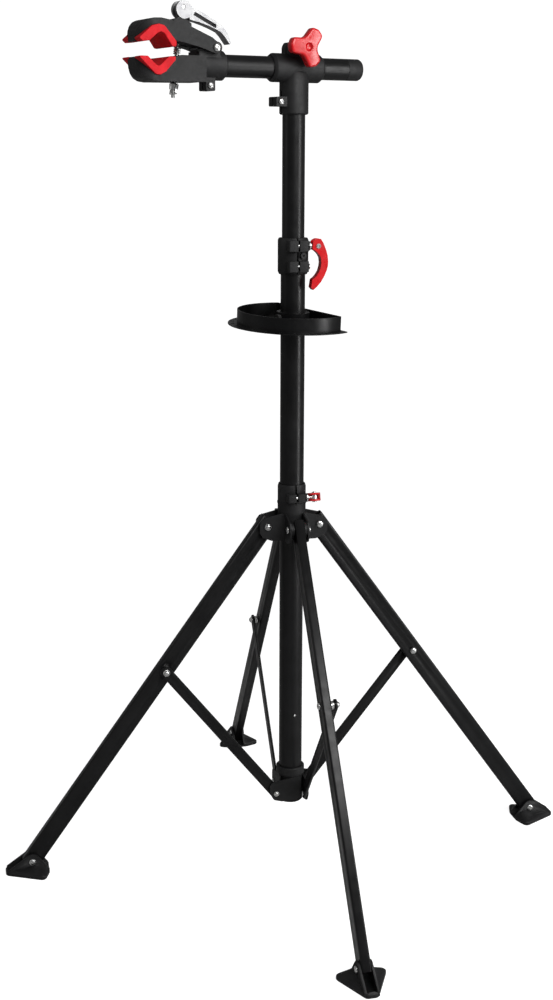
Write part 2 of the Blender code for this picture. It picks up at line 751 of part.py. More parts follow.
LOWER_PAD = [
    (209.3, 8.8),
    (209.3, 4.5),
    (224.5, -11.5),
    (233, -16),
    (240, -15.5),
    (266.5, 8.8),
    (252, 8.8),
    (239, -3.2),
    (235.5, -4.2),
    (232, -2.4),
    (219.5, 8.8),
]
UPPER_PAD = [
    (207.6, 24),
    (210, 22),
    (214.5, 22.5),
    (226, 39.2),
    (231, 41.6),
    (236, 39.8),
    (249, 29.2),
    (259.5, 28.2),
    (265, 32.6),
    (244.5, 49.6),
    (234, 52),
    (225.6, 50),
    (207.6, 29.5),
]


def rod_frame():
    """Origin at the cam pin; z runs down the clamp rod."""
    down = Vector((ROD_FOOT[0] - CAM_PIN[0], 0, ROD_FOOT[1] - CAM_PIN[1]))
    return axes((CAM_PIN[0], 0, CAM_PIN[1]), Vector((0, 1, 0)).cross(down), (0, 1, 0))


def nose():
    """The plan of both jaws: straight sides and a rounded nose."""
    plan = [(100, -28.6)] + [(243 + x, 1.1 * y) for x, y in arc(0, 0, 26, -90, 90, 12)] + [(100, 28.6)]
    return prism(plan, -100, 100)


def jaws():
    bore = ARM_R + GAP
    sleeve = [(0, 120), (18.5, 120), (21, 122.5), (21, 167), (0, 167)]
    body = [(160, -24), (252, -24.6), (261, -21), (267, -12.5), (269, 1), (264, 9), (207, 9.2)]
    body += [(199, 11.6), (160, 11.6)]
    steps = [add(prism(rounded(body, [0, 6, 5, 5, 3, 1.5, 1, 1, 0], 2), -JAW_HALF, JAW_HALF, side()))]
    x, z = JAW_PIVOT
    ear = [(131.5, 10), (166, 10), (166, 18)] + arc(x, z, 8, 0, 180, 6)
    steps.append(add(prism(ear, -18, 18, side())))
    lug = rounded([(138, -10), (138, -35.8), (152.5, -35.8), (152.5, -10)], [0, 2, 2, 0])
    for low, high in ((-12, -0.5), (0.5, 12)):
        steps.append(add(prism(lug, low, high, side())))
    steps.append(keep(nose()))
    steps.append(cut(rod(bore, 100, 163, ROUND_STEPS, along_arm())))
    steps.append(cut(block((110, -1.5, -50), (158, 1.5, -10))))
    steps.append(cut(prism(offset(LOWER_PAD, GAP), -40, 40, side())))
    notch = [(214, 6), (230, -8), (234, -10), (239, -9), (256, 6), (256, 20), (214, 20)]
    steps.append(cut(prism(notch, -40, 40, side())))
    steps.append(cut(block((187, -4.6, -60), (203.5, 4.6, 60))))
    steps.append(cut(rod(BOLT_HOLE_R, -40, 40, 8, across_arm(x, z))))
    steps.append(cut(rod(3.1, -30, 30, 8, across_arm(145.3, -28))))
    mesh = shaped(turned(sleeve, ROUND_STEPS, along_arm()), steps)
    place("lower_jaw", mesh, "plastic_black", BLACK_PLASTIC, head_frame())
    pad = shaped(prism(LOWER_PAD, -PAD_HALF, PAD_HALF, side()))
    place("lower_pad", pad, "rubber_red", RED_RUBBER, head_frame())

    top = [(150, 37), (188, 52.3), (213, 57.9), (232, 60.7), (246, 61.2), (258, 59.4), (264, 44)]
    under = [(265, 37), (258, 33), (254, 31), (207.4, 31), (197, 29.2), (166, 22.2), (149, 16.5)]
    outline = top + under + arc(x, z, 8.2, -60, -270, 7)
    shell = rounded(outline, [0, 4, 4, 4, 4, 5, 2, 2, 1, 0, 1, 2, 2, 0] + [0] * 8, 2)
    steps = [keep(nose()), cut(block((120, -18.4, 0), (168, 18.4, 70)))]
    steps.append(cut(prism(offset(UPPER_PAD, GAP), -40, 40, side())))
    notch = [(211, 15), (256, 15), (256, 31), (250, 33), (238, 44), (226, 45), (211, 25)]
    steps.append(cut(prism(notch, -40, 40, side())))
    steps.append(cut(block((177, -4.6, -60), (195.8, 4.6, 90))))
    steps.append(cut(rod(BOLT_HOLE_R, -40, 40, 8, across_arm(x, z))))
    mesh = shaped(prism(shell, -JAW_HALF, JAW_HALF, side()), steps)
    place("upper_jaw", mesh, "plastic_black", BLACK_PLASTIC, head_frame(), (x, 0, z))
    pad = shaped(prism(UPPER_PAD, -PAD_HALF, PAD_HALF, side()))
    place("upper_pad", pad, "rubber_red", RED_RUBBER, head_frame())

    mesh = shaped(fastener(3.4, 5.8, 3, -JAW_HALF - GAP, JAW_HALF + GAP, 4, 5.2))
    place("jaw_pivot_bolt", mesh, "zinc", ZINC, head_frame() @ across_arm(x, z) @ FLIP)
    mesh = shaped(fastener(3.2, 4.8, 2.5, -12.4, 12.4, 3, 4.8))
    place("clamp_pinch_bolt", mesh, "zinc", ZINC, head_frame() @ across_arm(145.3, -28) @ FLIP)


def clamp_rod():
    frame = head_frame() @ rod_frame()
    length = math.dist(CAM_PIN, ROD_FOOT)
    cross = Matrix.Rotation(math.radians(90), 4, "X")
    steps = [add(rod(5.5, -3.6, 3.6, 12, cross)), add(rod(2.5, -8.6, 8.6, 8, cross))]
    mesh = shaped(rod(3, 0, length, 8), steps)
    place("clamp_rod", mesh, "zinc", ZINC, frame)

    nut_top = 104.2
    wing = rounded([(4, nut_top + 1), (9, nut_top + 2), (13.5, nut_top + 15), (8.5, nut_top + 16)], 1.5)
    nut = [(0, nut_top), (5, nut_top), (6.8, nut_top + 1.5), (6.2, nut_top + 9), (0, nut_top + 9)]
    steps = []
    for half in (0, 180):
        steps.append(add(prism(wing, -1.3, 1.3, turn(half + 95) @ side())))
    steps.append(cut(rod(BOLT_HOLE_R, nut_top - 9, nut_top + 30, 8)))
    place("wing_nut", shaped(turned(nut, 12), steps), "zinc", ZINC, frame)

    place("rod_spring", shaped(loft(coil(4, 2.8, 4.6, 0.75, 53.4))), "zinc", ZINC, frame)


def coil(turns, pitch, radius, wire, start):
    """Wire sections of a spring about z, ten to a turn."""
    section = [2 * math.pi * i / 5 for i in range(5)]
    path = []
    for i in range(turns * 10 + 1):
        spoke = 2 * math.pi * i / 10
        out = Vector((math.cos(spoke), math.sin(spoke), 0))
        centre = out * radius + UP * (start + pitch * i / 10)
        path.append([centre + out * wire * math.cos(a) + UP * wire * math.sin(a) for a in section])
    return path


def cam():
    x, z = CAM_PIN
    cx, cz = x - 1.2, z - 3.2
    disc = circle(cx, cz, 12.5, 24)
    arm_line = [(176, 61), (150, 55), (127.5, 46.5), (116, 34), (112.5, 29.5), (110.5, 31), (112.5, 38)]
    arm_line += [(121, 51), (144, 66), (170, 76.5), (180, 78)]
    handle = rounded(arm_line, [0, 8, 6, 3, 1, 1, 3, 8, 12, 4, 0], 3)
    slot = [(200, 50), (200, 100), (176, 100), (170, 78), (176, 50)]
    steps = [add(prism(handle, -9, 9, side()))]
    steps.append(cut(prism(slot, -4, 4, side())))
    steps.append(cut(rod(3.1, -20, 20, 8, across_arm(x, z))))
    window = rounded([(134, 50.5), (134, 56), (168, 72), (171, 67)], 1.5, 2)
    steps.append(cut(prism(window, -12, 12, side())))
    mesh = shaped(prism(disc, -9, 9, side()), steps)
    place("cam_lever", mesh, "aluminium", ALUMINIUM, head_frame(), (x, 0, z))

    rest = [(173, 49.6), (201, 56.6), (200, 61.5)] + arc(cx, cz, 12.9, -58, -105, 5)
    rest += [(176, 58), (173, 56)]
    steps = [cut(block((179.5, -4.2, 40), (193.5, 4.2, 70)))]
    mesh = shaped(prism(rest, -8.5, 8.5, side()), steps)
    place("cam_saddle", mesh, "plastic_black", BLACK_PLASTIC, head_frame())


def main():
    for obj in list(bpy.data.objects):
        bpy.data.objects.remove(obj)
    main_tube()
    mast_end_cap()
    upper_tube()
    guide_bush()
    leg_parts()
    leg_hub()
    bottom_bracket()
    upper_collar()
    quick_release("collar", COLLAR_BOLT_Z, LEVER_REACH, 0, 16)
    quick_release("hub", HUB_BOLT_Z, HUB_LEVER_REACH, HUB_LEVER_HANG, 15)
    tool_tray()
    head_tee()
    knob()
    arm()
    jaws()
    clamp_rod()
    cam()


main()
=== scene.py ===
"""Looks for the folding repair stand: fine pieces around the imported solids, materials and studio light.

The frame is the solids' own: origin on the floor under the mast axis, +Z up, and one leg on each of -X, -Y,
+X and +Y. Shapes are drawn in millimetres and scaled to metres as they are placed.
"""

import json
import math

import bmesh
import bpy
from mathutils import Matrix, Vector


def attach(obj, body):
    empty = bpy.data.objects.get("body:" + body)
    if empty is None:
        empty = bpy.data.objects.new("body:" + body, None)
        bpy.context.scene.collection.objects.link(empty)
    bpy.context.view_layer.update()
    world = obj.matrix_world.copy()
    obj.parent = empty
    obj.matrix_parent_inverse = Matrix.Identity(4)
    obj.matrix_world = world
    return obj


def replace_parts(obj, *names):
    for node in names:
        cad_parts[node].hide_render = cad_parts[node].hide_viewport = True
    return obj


MM = 0.001
UP = Vector((0, 0, 1))
ACROSS = Matrix.Rotation(math.radians(-90), 4, "X")
FLIP = Matrix.Rotation(math.radians(180), 4, "X")

# Mast
MAIN_R = 19.0
MAIN_BORE = 17.85
MAIN_FOOT_Z = 86.0
MAIN_TOP_Z = 1002.0
UPPER_R = 17.3
UPPER_BORE = 15.9
UPPER_FOOT_Z = 440.0
UPPER_TOP_Z = 1240.0
RIVET_Z = 237.0
RIVET_AZIMUTH = 277.5

# Leg linkage, as radius from the mast axis and height above the floor
LEG_AZIMUTHS = (180, 270, 0, 90)
HUB_PIVOT = (42.6, 561.6)
BRACKET_PIVOT = (29.0, 102.0)
LEG_ANGLE = math.radians(35.84)
LEG_LENGTH = 666.8
STRUT_JOINT = 285.4
LEG_DEPTH = 30.0
LEG_WIDTH = 15.0
LEG_WALL = 1.5
LEG_TOP = 11.0
LEG_TAIL = 6.0
STRUT_WIDTH = 18.0
STRUT_THICK = 3.5
STRUT_OFFSET = 16.75
FOOT_HEIGHT = 21.0

# Leg hub and bottom bracket
HUB_R = 22.5
HUB_BORE = 19.9
HUB_FOOT_Z = 536.0
HUB_TOP_Z = 628.0
HUB_PLATE = 13.2
HUB_PLATE_THICK = 2.5
HUB_BOLT_Z = 609.0
BRACKET_R = 21.0
BRACKET_RIM_R = 23.3
BRACKET_TOP_Z = 144.0
BRACKET_PLATE = 19.2
BRACKET_PLATE_THICK = 2.6

# Upper collar
COLLAR_R = 23.6
COLLAR_FOOT_Z = 959.0
COLLAR_TOP_Z = 1014.0
COLLAR_BOLT_Z = 1003.0
COLLAR_SCREW_Z = 972.0
SLIT_AZIMUTH = 273.8
SLIT_BOLT_R = 26.6
LEVER_REACH = 30.0
HUB_LEVER_REACH = 29.0
HUB_LEVER_HANG = 76.0

# Tool tray
TRAY_Z = 880.0
TRAY_AZIMUTH = 23.0
TRAY_TILT = math.radians(2.6)
TRAY_TILT_AZIMUTH = -59.0
TRAY_RING_R = 87.0
TRAY_FLANGE_R = 101.0
TRAY_CHORD = 31.0
TRAY_WALL = 23.0

# Head: x along the arm, y to its near side, z up from the arm axis
ARM_Z = 1263.0
ARM_AZIMUTH = 195.8
ARM_R = 16.0
TEE_R = 20.8
TEE_SLEEVE_R = 22.0
TEE_FOOT = -67.0
KNOB_Z = 28.2
KNOB_R = 30.0
JAW_HALF = 28.0
PAD_HALF = 31.0
LIP_X = 257.0
LIP_HALF = 12.0
NOSE_X = 238.0
NOSE_REACH = 30.0
NOSE_HALF = 28.6
NOSE_POWER = 1.3
NOSE_STEPS = 32
JAW_PIVOT = (142.6, 23.4)
CAM_PIN = (185.7, 77.7)
ROD_FOOT = (200.3, -46.0)

GAP = 0.35
BOLT_HOLE_R = 3.7
LEG_TOP_HOLE_R = 4.5
HUB_GAP = 0.9
ROUND_STEPS = 52
SHARP_ANGLE = math.radians(32)
WELD_REACH = 0.02

# Camera, in metres and degrees
CAMERA_AT = (-0.5476, -2.1636, 1.1519)
CAMERA_HEADING = 76.42
CAMERA_PITCH = -13.90
CAMERA_ROLL = 0.17
CAMERA_LENS = 51.65
CAMERA_SENSOR = 36

# Stage, in metres: the floor is flat to FLOOR_FLAT beyond the mast, then curves up
FLOOR_HALF = 7.0
FLOOR_FLAT = 2.6
FLOOR_DRAW_IN = 0.35
FLOOR_RISE = 0.5
FLOOR_GREY = 0.5
FLOOR_GLOW = 0.88
AIM_Z = 0.75
WORLD_DIM = 0.2
WORLD_WHITE = 1.0

# Each light's azimuth and elevation from the camera's side of the stand, distance, size and watts
LIGHTS = {
    "overhead": (32, 34, 2.4, (1.3, 1.2), 40),
    "right_strip": (66, 4, 2.4, (0.4, 2.4), 34),
    "left_fill": (-80, 24, 3.2, (1.0, 2.2), 6),
}

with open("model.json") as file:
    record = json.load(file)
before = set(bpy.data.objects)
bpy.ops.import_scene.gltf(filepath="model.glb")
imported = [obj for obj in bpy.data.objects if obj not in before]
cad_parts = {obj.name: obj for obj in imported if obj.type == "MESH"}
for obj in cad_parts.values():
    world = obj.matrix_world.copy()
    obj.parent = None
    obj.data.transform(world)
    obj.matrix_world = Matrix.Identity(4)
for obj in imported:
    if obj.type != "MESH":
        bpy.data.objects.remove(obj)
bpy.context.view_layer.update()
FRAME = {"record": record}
BODY_OF = {n: body for body, nodes in FRAME["record"]["behaviour"]["bodies"].items() for n in nodes}
SLOT_OF = {part["node"]: part["material_slot"] for part in FRAME["record"]["subparts"]}


# Outlines and frames


def arc(cx, cy, radius, start, end, steps):
    """Points on an arc, angles in degrees."""
    angles = [math.radians(start + (end - start) * i / steps) for i in range(steps + 1)]
    return [(cx + radius * math.cos(a), cy + radius * math.sin(a)) for a in angles]


def circle(cx, cy, radius, steps):
    return arc(cx, cy, radius, 0, 360, steps)[:-1]


def rounded(points, radii, steps=2):
    """The closed polygon with each corner rounded. radii is one number or one per corner."""
    if not isinstance(radii, (list, tuple)):
        radii = [radii] * len(points)
    out = []
    for i, corner in enumerate(points):
        here = Vector(corner)
        back = Vector(points[i - 1]) - here
        ahead = Vector(points[(i + 1) % len(points)]) - here
        half = back.angle(ahead) / 2
        reach = min(radii[i] / math.tan(half), 0.48 * back.length, 0.48 * ahead.length)
        if reach < 0.05:
            out.append(tuple(here))
            continue
        centre = here + (back.normalized() + ahead.normalized()).normalized() * reach / math.cos(half)
        first = here + back.normalized() * reach - centre
        last = here + ahead.normalized() * reach - centre
        turn = first.angle_signed(last)
        for j in range(steps + 1):
            spoke = first.copy()
            spoke.rotate(Matrix.Rotation(-turn * j / steps, 2))
            out.append(tuple(centre + spoke))
    return out


def area(points):
    return sum(a[0] * b[1] - b[0] * a[1] for a, b in zip(points, points[1:] + points[:1])) / 2


def offset(points, distance):
    """The closed polygon moved outwards by distance, corner by corner."""
    if area(points) < 0:
        points = points[::-1]
    out = []
    for i, corner in enumerate(points):
        here = Vector(corner)
        back = (here - Vector(points[i - 1])).normalized()
        ahead = (Vector(points[(i + 1) % len(points)]) - here).normalized()
        out_back = Vector((back.y, -back.x))
        out_ahead = Vector((ahead.y, -ahead.x))
        mitre = (out_back + out_ahead).normalized()
        out.append(tuple(here + mitre * distance / max(0.4, mitre.dot(out_back))))
    return out


def axes(origin, x, y):
    """The frame at origin whose x and y axes are those given."""
    x = Vector(x).normalized()
    z = x.cross(Vector(y)).normalized()
    y = z.cross(x)
    matrix = Matrix((x, y, z)).transposed().to_4x4()
    matrix.translation = Vector(origin)
    return matrix


def side(y=0.0):
    """The frame for an outline drawn in the XZ plane and extruded along +Y."""
    return Matrix(((1, 0, 0, 0), (0, 0, 1, y), (0, 1, 0, 0), (0, 0, 0, 1)))


def turn(degrees):
    return Matrix.Rotation(math.radians(degrees), 4, "Z")


# Solids, as bmeshes in millimetres


def closed(bm):
    bmesh.ops.recalc_face_normals(bm, faces=bm.faces)
    if bm.calc_volume(signed=True) < 0:
        bmesh.ops.reverse_faces(bm, faces=bm.faces)
    return bm


def prism(outline, low, high, frame=None):
    """The outline extruded from low to high along its frame's z."""
    bm = bmesh.new()
    rings = [[bm.verts.new((x, y, z)) for x, y in outline] for z in (low, high)]
    bm.faces.new(rings[0])
    bm.faces.new(rings[1])
    for i in range(len(outline)):
        bm.faces.new((rings[0][i - 1], rings[0][i], rings[1][i], rings[1][i - 1]))
    bm.transform(frame or Matrix())
    return closed(bm)


def loft(sections, frame=None):
    """A solid through closed rings of equal length, capped at both ends."""
    bm = bmesh.new()
    rings = [[bm.verts.new(point) for point in section] for section in sections]
    bm.faces.new(rings[0])
    bm.faces.new(rings[-1])
    for low, high in zip(rings, rings[1:]):
        for i in range(len(low)):
            bm.faces.new((low[i - 1], low[i], high[i], high[i - 1]))
    bm.transform(frame or Matrix())
    return closed(bm)


def turned(profile, steps, frame=None):
    """The closed (radius, height) profile turned about z. Points at radius 0 become poles."""
    bm = bmesh.new()
    spokes = [2 * math.pi * i / steps for i in range(steps)]
    rings = []
    for radius, height in profile:
        if radius == 0:
            rings.append([bm.verts.new((0, 0, height))] * steps)
        else:
            rings.append(
                [bm.verts.new((radius * math.cos(a), radius * math.sin(a), height)) for a in spokes]
            )
    for low, high in zip(rings, rings[1:] + rings[:1]):
        for i in range(steps):
            corners = [low[i - 1], low[i], high[i], high[i - 1]]
            corners = list(dict.fromkeys(corners))
            if len(corners) > 2:
                bm.faces.new(corners)
    bm.transform(frame or Matrix())
    return closed(bm)


def rod(radius, low, high, steps=12, frame=None):
    return turned([(0, low), (radius, low), (radius, high), (0, high)], steps, frame)


def block(low, high, frame=None):
    outline = [(low[0], low[1]), (high[0], low[1]), (high[0], high[1]), (low[0], high[1])]
    return prism(outline, low[2], high[2], frame)


# Materials


def new_material(name, colour, roughness, metallic=0.0):
    made = bpy.data.materials.new(name)
    made.use_nodes = True
    shader = made.node_tree.nodes["Principled BSDF"]
    shader.inputs["Base Color"].default_value = (*colour, 1)
    shader.inputs["Roughness"].default_value = roughness
    shader.inputs["Metallic"].default_value = metallic
    return made, shader


def noise(made, scale, detail=3.0, stretch=(1, 1, 1)):
    """A noise texture in the piece's own metres, stretched along the axes given."""
    nodes = made.node_tree.nodes
    links = made.node_tree.links
    where = nodes.new("ShaderNodeTexCoord")
    mapping = nodes.new("ShaderNodeMapping")
    mapping.inputs["Scale"].default_value = stretch
    texture = nodes.new("ShaderNodeTexNoise")
    texture.inputs["Scale"].default_value = scale
    texture.inputs["Detail"].default_value = detail
    links.new(where.outputs["Object"], mapping.inputs["Vector"])
    links.new(mapping.outputs["Vector"], texture.inputs["Vector"])
    return texture.outputs["Fac"]


def vary(made, source, low, high, socket):
    """Spreads a 0 to 1 source between low and high on a number socket."""
    spread = made.node_tree.nodes.new("ShaderNodeMapRange")
    spread.inputs["From Min"].default_value = 0.3
    spread.inputs["From Max"].default_value = 0.7
    spread.inputs["To Min"].default_value = low
    spread.inputs["To Max"].default_value = high
    made.node_tree.links.new(source, spread.inputs["Value"])
    made.node_tree.links.new(spread.outputs["Result"], socket)


def tint(made, source, first, second, socket):
    """Blends two colours by a 0 to 1 source."""
    ramp = made.node_tree.nodes.new("ShaderNodeValToRGB")
    ramp.color_ramp.elements[0].position = 0.35
    ramp.color_ramp.elements[0].color = (*first, 1)
    ramp.color_ramp.elements[1].position = 0.65
    ramp.color_ramp.elements[1].color = (*second, 1)
    made.node_tree.links.new(source, ramp.inputs["Fac"])
    made.node_tree.links.new(ramp.outputs["Color"], socket)


def bump(made, shader, source, strength, depth_mm):
    node = made.node_tree.nodes.new("ShaderNodeBump")
    node.inputs["Strength"].default_value = strength
    node.inputs["Distance"].default_value = depth_mm * MM
    made.node_tree.links.new(source, node.inputs["Height"])
    made.node_tree.links.new(node.outputs["Normal"], shader.inputs["Normal"])


def black_coat():
    """Powder coat: a fine orange peel over black, a little uneven in gloss."""
    made, shader = new_material("powder_coat_black", (0.004, 0.004, 0.004), 0.34)
    shader.inputs["Specular IOR Level"].default_value = 0.3
    tint(made, noise(made, 22), (0.0025, 0.0025, 0.0028), (0.006, 0.006, 0.0063), shader.inputs["Base Color"])
    vary(made, noise(made, 60, 4), 0.28, 0.4, shader.inputs["Roughness"])
    bump(made, shader, noise(made, 1100, 2), 0.25, 0.04)
    return made


def black_plastic():
    """Moulded nylon with a spark-eroded grain."""
    made, shader = new_material("moulded_black", (0.010, 0.010, 0.010), 0.5)
    shader.inputs["Specular IOR Level"].default_value = 0.3
    tint(made, noise(made, 35), (0.007, 0.007, 0.0075), (0.014, 0.014, 0.0145), shader.inputs["Base Color"])
    vary(made, noise(made, 240, 4), 0.46, 0.62, shader.inputs["Roughness"])
    bump(made, shader, noise(made, 1900, 2), 0.5, 0.18)
    return made


def red_plastic():
    """Glossy moulded plastic with faint flow marks."""
    made, shader = new_material("glossy_red", (0.58, 0.002, 0.006), 0.28)
    tint(made, noise(made, 30), (0.52, 0.002, 0.005), (0.63, 0.003, 0.007), shader.inputs["Base Color"])
    vary(made, noise(made, 90, 4), 0.22, 0.36, shader.inputs["Roughness"])
    bump(made, shader, noise(made, 420, 2), 0.12, 0.1)
    shader.inputs["Coat Weight"].default_value = 0.25
    shader.inputs["Coat Roughness"].default_value = 0.18
    return made


def red_rubber():
    """Soft matte rubber with a fine skin texture."""
    made, shader = new_material("rubber_red", (0.62, 0.009, 0.016), 0.62)
    tint(made, noise(made, 60), (0.56, 0.007, 0.013), (0.68, 0.012, 0.020), shader.inputs["Base Color"])
    vary(made, noise(made, 300, 3), 0.55, 0.72, shader.inputs["Roughness"])
    bump(made, shader, noise(made, 1500, 2), 0.5, 0.15)
    shader.inputs["Specular IOR Level"].default_value = 0.2
    return made


def bright_zinc():
    """Zinc plate: bright, with fine turning marks and clouded patches."""
    made, shader = new_material("zinc_plate", (0.72, 0.72, 0.71), 0.26, 1.0)
    tint(made, noise(made, 180, 4), (0.62, 0.63, 0.63), (0.80, 0.79, 0.77), shader.inputs["Base Color"])
    vary(made, noise(made, 400, 4), 0.18, 0.36, shader.inputs["Roughness"])
    bump(made, shader, noise(made, 1600, 2), 0.15, 0.05)
    return made


def cast_aluminium():
    """Tumbled die-cast aluminium."""
    made, shader = new_material("cast_aluminium", (0.32, 0.32, 0.33), 0.45, 1.0)
    tint(made, noise(made, 90, 5), (0.28, 0.28, 0.29), (0.36, 0.36, 0.36), shader.inputs["Base Color"])
    vary(made, noise(made, 260, 4), 0.32, 0.5, shader.inputs["Roughness"])
    bump(made, shader, noise(made, 900, 3), 0.2, 0.1)
    return made


LOOKS = {
    "coat_black": black_coat(),
    "plastic_black": black_plastic(),
    "plastic_red": red_plastic(),
    "rubber_red": red_rubber(),
    "zinc": bright_zinc(),
    "aluminium": cast_aluminium(),
}


# Objects


def helper(name, bm):
    mesh = bpy.data.meshes.new(name)
    bm.to_mesh(mesh)
    bm.free()
    obj = bpy.data.objects.new(name, mesh)
    bpy.context.scene.collection.objects.link(obj)
    return obj


def applied(obj):
    """The mesh of obj with its modifiers applied; obj is removed."""
    graph = bpy.context.evaluated_depsgraph_get()
    mesh = bpy.data.meshes.new_from_object(obj.evaluated_get(graph))
    remove(obj)
    return mesh


def remove(obj):
    data = obj.data
    bpy.data.objects.remove(obj)
    bpy.data.meshes.remove(data)


def shaped(base, steps=()):
    """The mesh of base after each (operation, bmesh) step, in millimetres."""
    obj = helper("work", base)
    tools = []
    for operation, bm in steps:
        tool = helper("tool", bm)
        tools.append(tool)
        modifier = obj.modifiers.new(operation, "BOOLEAN")
        modifier.operation = operation
        modifier.solver = "EXACT"
        modifier.object = tool
    mesh = applied(obj)
    for tool in tools:
        remove(tool)
    return mesh


def softened(mesh, width, segments=3):
    """The mesh with every edge sharper than SHARP_ANGLE rounded to width, in millimetres."""
    obj = bpy.data.objects.new("work", mesh)
    bpy.context.scene.collection.objects.link(obj)
    for face in mesh.polygons:
        face.use_smooth = True
    weld = obj.modifiers.new("weld", "WELD")
    weld.merge_threshold = WELD_REACH
    bevel = obj.modifiers.new("bevel", "BEVEL")
    bevel.width = width
    bevel.segments = segments
    bevel.limit_method = "ANGLE"
    bevel.angle_limit = SHARP_ANGLE
    bevel.harden_normals = True
    return applied(obj)


def add(bm):
    return ("UNION", bm)


def cut(bm):
    return ("DIFFERENCE", bm)


def keep(bm):
    return ("INTERSECT", bm)


def place(node, mesh, frame=None, soften=0.0, segments=3):
    """A piece that stands for a node: a millimetre mesh moved by frame, with its edges softened."""
    data = softened(mesh.copy(), soften, segments) if soften else mesh.copy()
    if not soften:
        for face in data.polygons:
            face.use_smooth = True
        data.set_sharp_from_angle(angle=SHARP_ANGLE)
    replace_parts(piece(f"{node}_fine", data, frame or Matrix(), BODY_OF[node], SLOT_OF[node]), node)


def piece(name, data, frame, body, slot):
    """An object from a millimetre mesh moved by frame, riding on a body, with its slot's material."""
    data.name = name
    data.transform(Matrix.Scale(MM, 4) @ frame)
    data.materials.clear()
    data.materials.append(LOOKS[slot])
    obj = bpy.data.objects.new(name, data)
    bpy.context.scene.collection.objects.link(obj)
    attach(obj, body)
    return obj


# Fasteners


def dome(radius, height, base, sign, steps=5):
    """Profile points from the rim of a domed head at base to its top, away from base along sign."""
    angles = [math.radians(90 * i / steps) for i in range(steps + 1)]
    points = [(radius * math.cos(a), base + sign * height * math.sin(a)) for a in angles]
    return points[:-1] + [(0, base + sign * height)]


def hexagon(across_flats):
    return circle(0, 0, across_flats / 2 / math.cos(math.radians(30)), 6)


def socket(across_flats, low, high):
    return cut(prism(hexagon(across_flats), low, high))


def bolt(head_r, head, shank_r, low, high, nut_r=0.0, nut=0.0, hexagonal=0.0):
    """A domed bolt along z: its head ends at low and its domed nut starts at high."""
    rim = head * 0.3
    profile = dome(head_r, head - rim, low - rim, -1)[::-1]
    profile += [(head_r, low), (shank_r, low), (shank_r, high)]
    if nut:
        profile += [(nut_r, high), (nut_r, high + nut * 0.4)]
        profile += dome(nut_r * 0.8, nut * 0.6, high + nut * 0.4, 1)
    else:
        profile += [(0, high)]
    steps = []
    if hexagonal:
        steps.append(socket(hexagonal, low - head - 1, low - head + 1.9))
    return shaped(turned(profile, 28), steps)


# Mast


def tube(node, outer, inner, low, high, frame=None):
    profile = [(inner, low), (outer, low), (outer, high), (inner, high)]
    place(node, shaped(turned(profile, ROUND_STEPS)), frame, 0.3, 2)


def mast():
    tube("main_tube", MAIN_R, MAIN_BORE, MAIN_FOOT_Z, MAIN_TOP_Z)
    tube("upper_tube", UPPER_R, UPPER_BORE, UPPER_FOOT_Z, UPPER_TOP_Z)

    plug = MAIN_BORE - GAP
    profile = [(0, 81.5), (14, 81.7), (19, 82.6), (21, 84.4), (21, MAIN_FOOT_Z - GAP)]
    profile += [(plug, MAIN_FOOT_Z - GAP), (plug, 98), (0, 98)]
    place("mast_end_cap", shaped(turned(profile, ROUND_STEPS)), None, 0.6)

    top = UPPER_FOOT_Z - GAP
    profile = [(12, top - 8), (17.4, top - 8), (17.4, top), (UPPER_BORE - GAP, top)]
    profile += [(UPPER_BORE - GAP, top + 18), (12, top + 18)]
    place("guide_bush", shaped(turned(profile, ROUND_STEPS)), None, 0.4)


def mast_rivet():
    """A small rivet in the front of the main tube."""
    seat = MAIN_R - 0.6
    profile = [(0, seat), (1.9, seat), (1.9, MAIN_R + 0.2), (1.2, MAIN_R + 0.8), (0, MAIN_R + 1)]
    frame = turn(RIVET_AZIMUTH) @ Matrix.Translation((0, 0, RIVET_Z)) @ along_arm()
    piece("mast_rivet", shaped(turned(profile, 24)), frame, "mast", "zinc")


# Legs: drawn along +X and turned to each azimuth


def leg_points():
    """Pivots at the hub, the strut and the foot, and at the bottom bracket, all on +X."""
    outward = Vector((math.sin(LEG_ANGLE), 0, -math.cos(LEG_ANGLE)))
    hub = Vector((HUB_PIVOT[0], 0, HUB_PIVOT[1]))
    bracket = Vector((BRACKET_PIVOT[0], 0, BRACKET_PIVOT[1]))
    return hub, hub + outward * STRUT_JOINT, hub + outward * LEG_LENGTH, bracket


def leg_tube(hub, joint, ankle):
    outward = (ankle - hub).normalized()
    across = Vector((-outward.z, 0, outward.x))
    along_leg = axes(hub, across, (0, -1, 0))
    if along_leg.to_3x3().col[2].dot(outward) < 0:
        along_leg = axes(hub, across, (0, 1, 0))

    def section(inset, radius, steps):
        x = LEG_DEPTH / 2 - inset
        y = LEG_WIDTH / 2 - inset
        return rounded([(-x, -y), (x, -y), (x, y), (-x, y)], radius, steps)

    tail = LEG_LENGTH + LEG_TAIL
    steps = [cut(prism(section(LEG_WALL, 1.5, 3), -LEG_TOP - 9, tail + 9, along_leg))]
    for point, radius in ((hub, LEG_TOP_HOLE_R), (joint, BOLT_HOLE_R), (ankle, BOLT_HOLE_R)):
        steps.append(cut(rod(radius, -20, 20, 20, Matrix.Translation(point) @ ACROSS)))
    return shaped(prism(section(0, 3, 6), -LEG_TOP, tail, along_leg), steps)


